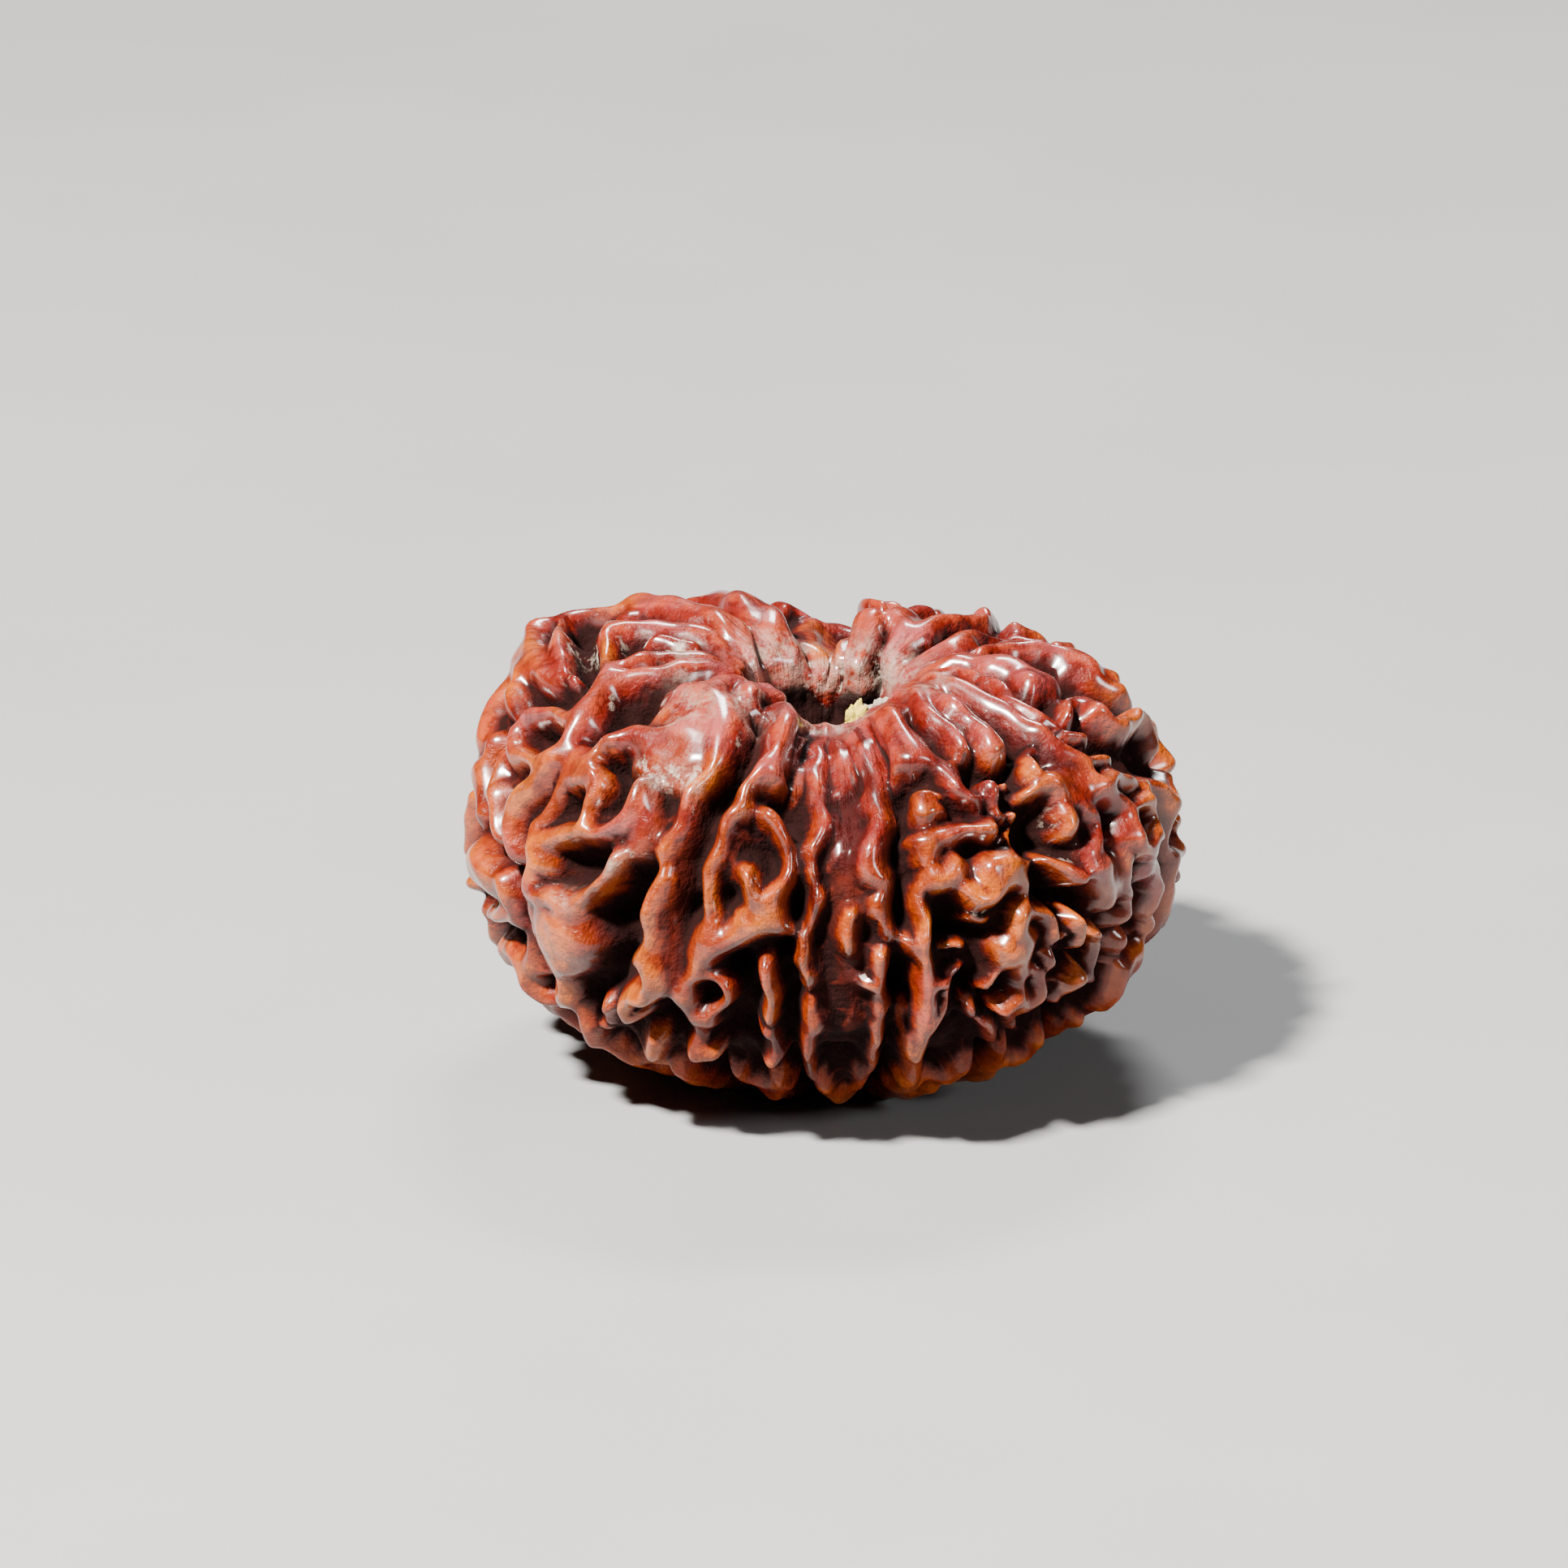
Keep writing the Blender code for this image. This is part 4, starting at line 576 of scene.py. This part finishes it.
def under_net(draw, left, right):
    """Short fingers that draw together towards the lower hole, with knobs between them."""
    middle = (left + right) / 2
    width = right - left
    ridges = []
    for side in (-0.26, 0.26):
        start = middle + side * width
        ridges.append((draw.uniform(0.45, 0.6), 0.95, [
            (start, 28.4 + draw.uniform(-0.4, 0.6)), (start + draw.uniform(-2, 2), 30.2),
            (middle + side * width * 0.7, 32.2 + draw.uniform(-0.5, 0.8))]))
    ridges.append((draw.uniform(0.6, 0.75), 1.0, [
        (middle + draw.uniform(-3, 3), 31.4 + draw.uniform(-0.5, 0.8)), (middle, 33.6),
        (middle + draw.uniform(-2, 2), 36.5)]))
    if draw.random() < 0.6:
        ridges.append((0.42, 0.85, [(middle - 0.26 * width, 29.9), (middle + 0.26 * width, 29.4)]))
    return ridges


def all_ridges():
    """Every ridge of the seed: half-width, share of the floor's depth, and its points."""
    draw = random.Random(SEED)
    ridges = (CROWN_LEFT + CROWN_RIGHT + LEFT_FACES + COLUMN + LADDER_FACE + NARROW_FACES + HOOKED_FACE
              + LUMP_FACE + RIGHT_FACES)
    for left, right, first, last in NETTED_FACES:
        ridges = ridges + face_net(draw, left, right, first, last)
    lower = [girth for crown, girth in CLEFTS]
    for left, right in zip(lower, lower[1:] + [lower[0] + 360]):
        ridges = ridges + under_net(draw, left, right)
    return ridges


def cleft_gap(azimuth, station, places):
    """Distance along the skin from each place to the nearest cleft, in millimetres."""
    reach = np.hypot(places[:, 0], places[:, 1])
    gaps = []
    for crown, girth in CLEFTS:
        cleft = crown + (girth - crown) * ease(9.0, 18.0, station)
        gaps.append(np.abs(np.radians(turn_gap(azimuth, cleft))) * reach)
    return np.min(gaps, axis=0)


def floor_depth(azimuth, station, places):
    """How far the pit floors lie below the skin. It fades out at both throats."""
    ends = from_ends(station)
    depth = HOLE_PIT_DEPTH + (PIT_DEPTH - HOLE_PIT_DEPTH) * ease(3.5, 9.0, ends)
    depth = depth * (1 + PIT_RIPPLE * ripple(places, 3))
    depth = depth + CLEFT_EXTRA * np.exp(-(cleft_gap(azimuth, station, places) / CLEFT_HALF_WIDTH) ** 2)
    for radius, pit_azimuth, pit_station in DEEP_PITS:
        gap = gap_to(places, pit_azimuth, pit_station)
        depth = depth + PIT_EXTRA * np.exp(-(gap / radius) ** 2)
    return depth * ease(0.2, 1.8, ends)


def cleft_sink(azimuth, station, places):
    """How far ridges and floors alike sink towards the clefts, away from the throats."""
    ends = from_ends(station)
    gap = cleft_gap(azimuth, station, places)
    return CLEFT_DIP * np.exp(-(gap / CLEFT_DIP_WIDTH) ** 2) * ease(5.0, 9.0, ends)


def ridge_level(ridge, places, depth, girth_noise):
    """The places near one ridge, and how far it stands above the floor there."""
    half_width, share, points = ridge
    line = smooth_curve(points, 8) if len(points) > 2 else np.array(points, float)
    path = skin(line[:, 0], line[:, 1])
    reach = half_width * 1.8
    near = np.all((places > path.min(axis=0) - reach) & (places < path.max(axis=0) + reach), axis=1)
    chosen = np.flatnonzero(near)
    spots = places[chosen]
    gap = np.linalg.norm(spots - path[0], axis=1)
    for start, end in zip(path, path[1:]):
        way = end - start
        along = np.clip((spots - start) @ way / max(way @ way, 1e-9), 0.0, 1.0)
        gap = np.minimum(gap, np.linalg.norm(spots - start - along[:, None] * way, axis=1))
    across = gap / (half_width * (1 + KNOBBLE * girth_noise[chosen]))
    cap = np.clip(1 - across**2, 0.0, 1.0) ** 0.55
    drop = min(half_width, TALLEST_CAP) * (1 - cap)
    level = np.clip(depth[chosen] * share - drop, 0.0, None) * (1 - ease(0.75, 1.4, across))
    return chosen, level


def near_places(places, spots):
    """How near each point is to the spots given as radius, azimuth and station: 1 at a spot, 0 far off."""
    best = np.zeros(len(places))
    for radius, azimuth, station in spots:
        best = np.maximum(best, np.exp(-(gap_to(places, azimuth, station) / radius) ** 2))
    return best


def relief(azimuth, station):
    """Depth of the fine surface below the skin, in millimetres, and that of the bare floor there."""
    places = skin(azimuth, station)
    depth = floor_depth(azimuth, station, places)
    ends = ease(1.5, 4.0, from_ends(station))
    warped = places + WOBBLE * np.stack([ripple(places, *waves) for waves in WOBBLE_WAVES], axis=-1)
    knobble = ripple(places, *KNOBBLE_WAVES)
    total = np.zeros(len(places))
    for ridge in all_ridges():
        chosen, level = ridge_level(ridge, warped, depth, knobble)
        total[chosen] += level**BLEND_POWER
    level = total ** (1 / BLEND_POWER)
    crease = 1 - np.abs(ripple(places, *CREASE_WAVES))
    floor_net = FLOOR_NET * np.clip(crease, 0, 1) ** 3 * ends
    level = (level**4 + floor_net**4) ** 0.25
    top = ease(0.5, 1.0, level / np.maximum(depth, 0.2))
    level = level * (1 + RIDGE_RIPPLE * ripple(places, 4)) + top * TOP_RIPPLE * ripple(places, *TOP_WAVES)
    below = (depth - level) * (1 + PIT_GAIN * near_places(places, SHADED_PITS))
    return below + cleft_sink(azimuth, station, places), depth


def chart():
    """A flat grid that is closed into the seed: azimuth one way, station and the hole's wall the other."""
    mesh = bmesh.new()
    turn_mark = mesh.verts.layers.float.new("azimuth")
    run_mark = mesh.verts.layers.float.new("run")
    bmesh.ops.create_grid(mesh, x_segments=AZIMUTH_STEPS, y_segments=RUN_STEPS, size=1.0)
    for vert in mesh.verts:
        vert[turn_mark] = vert.co.x * 180.0
        vert[run_mark] = (vert.co.y + 1) / 2 * (SKIN_LENGTH + WALL_LENGTH)
    body = bpy.data.meshes.new("rudraksha_skin")
    mesh.to_mesh(body)
    mesh.free()
    return body


def hole_wall(azimuth, rise):
    """The wall of the hole, from the lower throat (rise 0) to the upper one (rise 1)."""
    knots = np.linspace(0.0, 1.0, len(HOLE_WALL))
    share = np.interp(rise, knots, [wall_share for wall_share, height in HOLE_WALL])
    height = np.interp(rise, knots, [height for wall_share, height in HOLE_WALL])
    throat = skin(azimuth, np.zeros_like(rise))
    dip = (throat[:, 2] - SKIN_PROFILE[0][1]) * rise
    return np.stack([throat[:, 0] * share, throat[:, 1] * share, height + dip], axis=-1)


def read_marks(body, name):
    """One value for each point of a mesh."""
    values = np.empty(len(body.vertices))
    body.attributes[name].data.foreach_get("value", values)
    return values


def write_marks(body, name, values):
    body.attributes.new(name, "FLOAT", "POINT").data.foreach_set("value", values)


def read_places(body):
    """The points of a mesh, in metres."""
    places = np.empty(len(body.vertices) * 3)
    body.vertices.foreach_get("co", places)
    return places.reshape(-1, 3)


def closed_skin():
    """The fine skin as one closed mesh, with its depth and floor depth kept on every point."""
    body = chart()
    azimuth, run = read_marks(body, "azimuth"), read_marks(body, "run")
    outer = run <= SKIN_LENGTH
    depth = np.zeros(len(run))
    floor = np.full(len(run), 0.3)
    places = np.empty((len(run), 3))
    turn, station = azimuth[outer], run[outer]
    depth[outer], floor[outer] = relief(turn, station)
    ends = ease(1.5, 4.0, from_ends(station))
    inset = depth[outer] - SOFTEN_LOSS * ends
    places[outer] = skin(turn, station) - skin_normal(turn, station) * inset[:, None]
    places[~outer] = hole_wall(azimuth[~outer], (run[~outer] - SKIN_LENGTH) / WALL_LENGTH)
    depth[~outer] = HOLE_SHADE
    places = (places + STANDING) * MM
    body.vertices.foreach_set("co", places.ravel())
    write_marks(body, "depth", depth)
    write_marks(body, "floor", floor)
    mesh = bmesh.new()
    mesh.from_mesh(body)
    bmesh.ops.remove_doubles(mesh, verts=mesh.verts, dist=WELD)
    bmesh.ops.recalc_face_normals(mesh, faces=mesh.faces)
    if mesh.calc_volume(signed=True) < 0:
        bmesh.ops.reverse_faces(mesh, faces=mesh.faces)
    for _ in range(SOFTEN_ROUNDS):
        bmesh.ops.smooth_vert(
            mesh, verts=mesh.verts, factor=SOFTEN_SHARE, use_axis_x=True, use_axis_y=True, use_axis_z=True)
    mesh.to_mesh(body)
    mesh.free()
    return body


def thinned(body):
    """The skin with fewer faces, kept above the surface that it rests on."""
    fine = bpy.data.objects.new("fine_skin", body)
    bpy.context.collection.objects.link(fine)
    thinner = fine.modifiers.new("fewer_faces", "DECIMATE")
    thinner.ratio = TRIANGLES_WANTED / (2 * len(body.polygons))
    ready = fine.evaluated_get(bpy.context.evaluated_depsgraph_get())
    slim = bpy.data.meshes.new_from_object(ready)
    places = read_places(slim)
    places[:, 2] = np.maximum(places[:, 2], 0.0)
    slim.vertices.foreach_set("co", places.ravel())
    bpy.data.objects.remove(fine, do_unlink=True)
    return slim


def marks_from(fine, places):
    """The marks of the nearest point of the fine skin, for each of the places."""
    fine_places = read_places(fine)
    tree = KDTree(len(fine_places))
    for index, place in enumerate(fine_places):
        tree.insert(place, index)
    tree.balance()
    nearest = np.array([tree.find(place)[1] for place in places])
    return [read_marks(fine, name)[nearest] for name in ("depth", "floor", "azimuth", "run")]


def add_scraps(slim):
    """Sets crumpled scraps of dry pith into the mouth, and returns how yellow each point of the seed is."""
    bare = len(slim.vertices)
    mesh = bmesh.new()
    mesh.from_mesh(slim)
    shades = []
    coarse, fine = PITH_WAVES
    for middle, sizes, lean, shade in PITH_SCRAPS:
        ball = bmesh.ops.create_icosphere(mesh, subdivisions=4, radius=1.0)["verts"]
        spots = np.array([vert.co for vert in ball])
        crumple = 1 + PITH_CRUMPLE * (ripple(spots, *coarse) + 0.5 * ripple(spots, *fine))
        spots = spots * crumple[:, None] * sizes
        turn = math.radians(lean)
        across = spots[:, 0] * math.cos(turn) + spots[:, 2] * math.sin(turn)
        up = spots[:, 2] * math.cos(turn) - spots[:, 0] * math.sin(turn)
        spots = np.stack([across, spots[:, 1], up], axis=-1) + middle + STANDING
        for vert, spot in zip(ball, spots * MM):
            vert.co = spot
        shades += [shade] * len(ball)
    mesh.to_mesh(slim)
    mesh.free()
    return np.concatenate([np.zeros(bare), shades])


def shell_marks(places, depth, floor, azimuth, run):
    """What the shell's material reads at each point. Places are in millimetres, as on the skin."""
    rise = np.clip(1 - depth / np.maximum(floor, 0.4), 0.0, 1.0)
    rise = rise * ease(0.6, 2.4, run) * ease(0.4, 1.6, SKIN_LENGTH - run)
    open_air = ease(1.3, 2.5, run) * ease(0.0, 2.0, SKIN_LENGTH - run)
    # Painted shade: darker with depth below the skin and in the shaded pits.
    pit = depth / DARKEST_DEPTH + 0.5 * near_places(places, SHADED_PITS) * (1 - ease(0.5, 0.95, rise))
    # Painted shade: darker towards the bottom, on the walls and floors.
    pit = pit + 0.3 * ease(22.0, 30.0, run) * (1 - rise)
    front = np.exp(-((azimuth - 3) / 16) ** 4) * ease(2.5, 5.0, run) * ease(6.0, 14.0, SKIN_LENGTH - run)
    orange = np.maximum(near_places(places, ORANGE_PATCHES), 0.55 * ease(8.5, 14.0, run))
    return {
        "rise": rise,
        "gloss": 1 - 0.85 * ease(21.0, 29.0, run),
        # Painted shade: black in the hole and at both throats.
        "pit_shade": np.maximum(np.clip(pit, 0.0, 1.0), 1 - open_air),
        "front": front,
        "orange": orange * (1 - 0.75 * near_places(places, MAUVE_PLACES)),
        "veil": near_places(places, PALE_PLACES) * open_air,
        "dust": near_places(places, DUSTY_PLACES) * (1 - ease(0.55, 0.95, rise)) * open_air,
    }


def seed_skin():
    """The dressed seed: the thinned skin with the scraps in its mouth, marked for its material."""
    fine = closed_skin()
    slim = thinned(fine)
    places = read_places(slim)
    marks = shell_marks(places / MM - STANDING, *marks_from(fine, places))
    pith = add_scraps(slim)
    for name in ("depth", "floor", "azimuth", "run"):
        if name in slim.attributes:
            slim.attributes.remove(slim.attributes[name])
    on_scraps = np.zeros(len(pith) - len(places))
    for name, values in marks.items():
        write_marks(slim, name, np.concatenate([values, on_scraps]))
    write_marks(slim, "pith", pith)
    slim.shade_smooth()
    piece = bpy.data.objects.new("seed_skin", slim)
    bpy.context.collection.objects.link(piece)
    piece.data.materials.append(shell_material())
    return piece


class Graph:
    """A small helper that adds and joins shader nodes."""

    def __init__(self, name):
        self.material = bpy.data.materials.new(name)
        self.material.use_nodes = True
        self.tree = self.material.node_tree
        self.shader = self.tree.nodes["Principled BSDF"]

    def add(self, kind, **settings):
        node = self.tree.nodes.new(kind)
        for key, value in settings.items():
            setattr(node, key, value)
        return node

    def join(self, source, target):
        self.tree.links.new(source, target)

    def feed(self, target, value):
        """Sets a number or colour on a socket, or joins another node's output to it."""
        if isinstance(value, (int, float, tuple)):
            target.default_value = value
        else:
            self.join(value, target)

    def mark(self, name):
        return self.add("ShaderNodeAttribute", attribute_name=name).outputs["Fac"]

    def noise(self, scale, detail=3.0, roughness=0.55, spot=None):
        if spot is None:
            spot = self.add("ShaderNodeTexCoord").outputs["Object"]
        node = self.add("ShaderNodeTexNoise")
        node.inputs["Scale"].default_value = scale
        node.inputs["Detail"].default_value = detail
        node.inputs["Roughness"].default_value = roughness
        self.join(spot, node.inputs["Vector"])
        return node.outputs["Fac"]

    def streaks(self, scale):
        """Noise drawn out along the way from hole to hole."""
        parts = self.add("ShaderNodeSeparateXYZ")
        self.join(self.add("ShaderNodeTexCoord").outputs["Object"], parts.inputs["Vector"])
        across, ahead, up = parts.outputs["X"], parts.outputs["Y"], parts.outputs["Z"]
        turn = self.sum("ARCTAN2", across, self.sum("MULTIPLY", ahead, -1.0))
        squares = self.sum("ADD", self.sum("MULTIPLY", across, across), self.sum("MULTIPLY", ahead, ahead))
        spot = self.add("ShaderNodeCombineXYZ")
        self.join(self.sum("MULTIPLY", turn, STREAK_RADIUS), spot.inputs["X"])
        self.join(self.sum("MULTIPLY", self.sum("POWER", squares, 0.5), STREAK_DRAW), spot.inputs["Y"])
        self.join(self.sum("MULTIPLY", up, STREAK_DRAW), spot.inputs["Z"])
        return self.noise(scale, 4.0, 0.6, spot.outputs["Vector"])

    def ramp(self, value, stops):
        node = self.add("ShaderNodeValToRGB")
        node.color_ramp.interpolation = "EASE"
        marks = node.color_ramp.elements
        while len(marks) < len(stops):
            marks.new(0.5)
        for mark, (position, colour) in zip(marks, stops):
            mark.position = position
            mark.color = colour
        self.join(value, node.inputs["Fac"])
        return node.outputs["Color"]

    def span(self, value, low, high, to_low=0.0, to_high=1.0):
        """Maps low to to_low and high to to_high, and stays there beyond them."""
        node = self.add("ShaderNodeMapRange")
        for key, number in (("From Min", low), ("From Max", high), ("To Min", to_low), ("To Max", to_high)):
            node.inputs[key].default_value = number
        self.join(value, node.inputs["Value"])
        return node.outputs["Result"]

    def sum(self, kind, first, second):
        node = self.add("ShaderNodeMath", operation=kind)
        for socket, value in zip(node.inputs, (first, second)):
            self.feed(socket, value)
        return node.outputs["Value"]

    def mix(self, share, first, second):
        node = self.add("ShaderNodeMix", data_type="RGBA", blend_type="MIX")
        for socket, value in zip((node.inputs[0], node.inputs[6], node.inputs[7]), (share, first, second)):
            self.feed(socket, value)
        return node.outputs[2]

    def bump(self, height, strength, distance, under=None):
        node = self.add("ShaderNodeBump")
        node.inputs["Strength"].default_value = strength
        node.inputs["Distance"].default_value = distance
        self.join(height, node.inputs["Height"])
        if under is not None:
            self.join(under, node.inputs["Normal"])
        return node.outputs["Normal"]


def bare_shell(graph, rise, grain):
    """Red on the crown and in the mauve places, orange further out, and painted shade that darkens it down
    the ridges' sides to black in the pits.
    """
    height = graph.sum("ADD", rise, graph.span(grain, 0.3, 0.7, -0.07, 0.07))
    height = graph.sum("ADD", height, graph.span(graph.noise(MOTTLE, 5.0, 0.6), 0.3, 0.7, -0.16, 0.1))
    # Painted shade: both ramps darken the shell down the ridges' sides to black at the pit floors.
    red = graph.ramp(height, [(0.05, PIT_SHADE_BLACK), (0.42, SHADE_STREAK_AND_GRAIN_DARK), (0.75, SHELL_RED), (1.0, SHELL_PALE)])
    amber_stops = [(0.05, PIT_SHADE_BLACK), (0.38, ORANGE_WALL_SHADE), (0.7, SHELL_ORANGE), (1.0, SHELL_AMBER)]
    orange = graph.ramp(height, amber_stops)
    blotch = graph.span(graph.noise(BLOTCHES, 4.0), 0.35, 0.7, -0.3, 0.35)
    patch = graph.sum("ADD", graph.mark("orange"), blotch)
    return graph.mix(graph.span(patch, 0.25, 0.75), red, orange)


def aged_shell(graph, colour, rise, grain, lines):
    """Pink clouds on the tops, dark streaks and grain, and painted shade that makes the pits, the hole and
    the lower part almost black.
    """
    pink = graph.span(graph.noise(PINK_CLOUDS, 3.0), 0.46, 0.64)
    pink = graph.sum("MULTIPLY", pink, graph.span(rise, 0.7, 1.0, 0.0, 0.7))
    pink = graph.sum("MULTIPLY", pink, graph.span(graph.mark("orange"), 0.1, 0.45, 1.0, 0.15))
    colour = graph.mix(pink, colour, SHELL_PINK)
    drawn, streaks = lines
    colour = graph.mix(graph.sum("MULTIPLY", drawn, graph.span(streaks, 0.5, 0.64)), colour, SHADE_STREAK_AND_GRAIN_DARK)
    colour = graph.mix(graph.span(grain, 0.25, 0.5, 0.35, 0.0), colour, SHADE_STREAK_AND_GRAIN_DARK)
    # Painted shade: the pits, the hole and the lower part go almost black.
    return graph.mix(graph.span(graph.mark("pit_shade"), 0.4, 0.85), colour, PIT_SHADE_BLACK)


def dry_remains(graph, colour, dust, pith):
    """A thin pale film, crumbs of dry pulp in the crevices, and the yellow and grey pith."""
    film = graph.span(graph.noise(FILM, 5.0, 0.75), 0.42, 0.6)
    film = graph.sum("MULTIPLY", graph.mark("veil"), film)
    colour = graph.mix(graph.sum("MULTIPLY", film, 0.55), colour, DRY_PULP)
    colour = graph.mix(graph.span(dust, 0.15, 0.6), colour, DRY_PULP)
    scrap = graph.ramp(pith, [(0.5, DRY_PULP), (0.9, PITH_YELLOW)])
    return graph.mix(graph.span(pith, 0.0, 0.4), colour, scrap)


def shell_material():
    """Waxed shell: pale red-brown ridge tops, orange patches, painted shade on the walls and near-black
    painted shade in the pits, and dry dust.
    """
    graph = Graph("waxed_shell")
    shader = graph.shader.inputs
    rise, pith = graph.mark("rise"), graph.mark("pith")
    grain = graph.noise(GRAIN, 5.0, 0.65)
    streaks = graph.streaks(STREAKS)
    drawn = graph.span(graph.mark("front"), 0.0, 1.0, 0.5, 0.85)
    crumbs = graph.span(graph.noise(CRUMBS, 4.0, 0.7), 0.42, 0.6)
    dust = graph.sum("MULTIPLY", graph.mark("dust"), crumbs)

    colour = bare_shell(graph, rise, grain)
    colour = aged_shell(graph, colour, rise, grain, (drawn, streaks))
    graph.join(dry_remains(graph, colour, dust, pith), shader["Base Color"])

    dull = graph.sum("ADD", graph.span(rise, 0.1, 0.8, 0.9, 0.36), graph.span(grain, 0.3, 0.7, -0.06, 0.08))
    dull = graph.sum("ADD", dull, graph.span(dust, 0.1, 0.5, 0.0, 0.4))
    graph.join(graph.sum("MAXIMUM", dull, graph.span(pith, 0.0, 0.4)), shader["Roughness"])
    wax = graph.span(graph.sum("SUBTRACT", rise, dust), 0.3, 0.85, 0.0, WAX_COAT)
    graph.join(graph.sum("MULTIPLY", wax, graph.mark("gloss")), shader["Coat Weight"])
    shader["Coat Roughness"].default_value = WAX_ROUGHNESS
    shader["Coat IOR"].default_value = WAX_IOR
    shader["Specular IOR Level"].default_value = SHELL_SPECULAR
    shader["Metallic"].default_value = 0.0

    rough = graph.bump(grain, 0.5, GRAIN_HEIGHT)
    dents = graph.bump(graph.noise(DENTS, 4.0, 0.6), 0.8, DENT_HEIGHT, rough)
    lines = graph.bump(graph.sum("MULTIPLY", drawn, streaks), 0.7, STREAK_HEIGHT, dents)
    graph.join(lines, shader["Normal"])
    return graph.material


def floor_material():
    graph = Graph("pale_floor")
    cloud = graph.span(graph.noise(30.0, 3.0), 0.3, 0.7, 0.0, 0.06)
    graph.join(graph.mix(cloud, FLOOR_COLOUR, FLOOR_CLOUD), graph.shader.inputs["Base Color"])
    graph.shader.inputs["Roughness"].default_value = 0.6
    return graph.material


def make_floor():
    body = bpy.data.meshes.new("floor")
    mesh = bmesh.new()
    bmesh.ops.create_grid(mesh, x_segments=1, y_segments=1, size=1.2)
    mesh.to_mesh(body)
    mesh.free()
    floor = bpy.data.objects.new("floor", body)
    bpy.context.collection.objects.link(floor)
    floor.data.materials.append(floor_material())


def make_camera():
    place = Vector(CAMERA_PLACE) * MM
    data = bpy.data.cameras.new("camera")
    data.lens = CAMERA_LENS
    data.sensor_width = 36.0
    data.sensor_fit = "HORIZONTAL"
    data.clip_start = 0.01
    camera = bpy.data.objects.new("camera", data)
    camera.location = place
    camera.rotation_euler = (Vector(CAMERA_AIM) * MM - place).to_track_quat("-Z", "Y").to_euler()
    bpy.context.collection.objects.link(camera)
    bpy.context.scene.camera = camera


def soft_light(name, place, size, power, colour=(1.0, 1.0, 1.0)):
    data = bpy.data.lights.new(name, "AREA")
    data.shape = "RECTANGLE"
    data.size, data.size_y = size
    data.energy = power
    data.color = colour
    lamp = bpy.data.objects.new(name, data)
    lamp.location = place
    lamp.rotation_euler = (Vector((0, 0, LIT_HEIGHT)) - lamp.location).to_track_quat("-Z", "Y").to_euler()
    bpy.context.collection.objects.link(lamp)


def make_light():
    soft_light("key_left", KEY_PLACE, KEY_SIZE, KEY_POWER, KEY_TINT)
    soft_light("fill_right", FILL_PLACE, FILL_SIZE, FILL_POWER)
    soft_light("top_back", BACK_PLACE, BACK_SIZE, BACK_POWER)
    world = bpy.data.worlds.new("studio")
    world.use_nodes = True
    world.node_tree.nodes["Background"].inputs["Color"].default_value = (1.0, 1.0, 1.0, 1.0)
    world.node_tree.nodes["Background"].inputs["Strength"].default_value = WORLD_STRENGTH
    bpy.context.scene.world = world


make_camera()
make_light()
make_floor()
seed = seed_skin()
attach(seed, "root")
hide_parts(SEED_NODE)
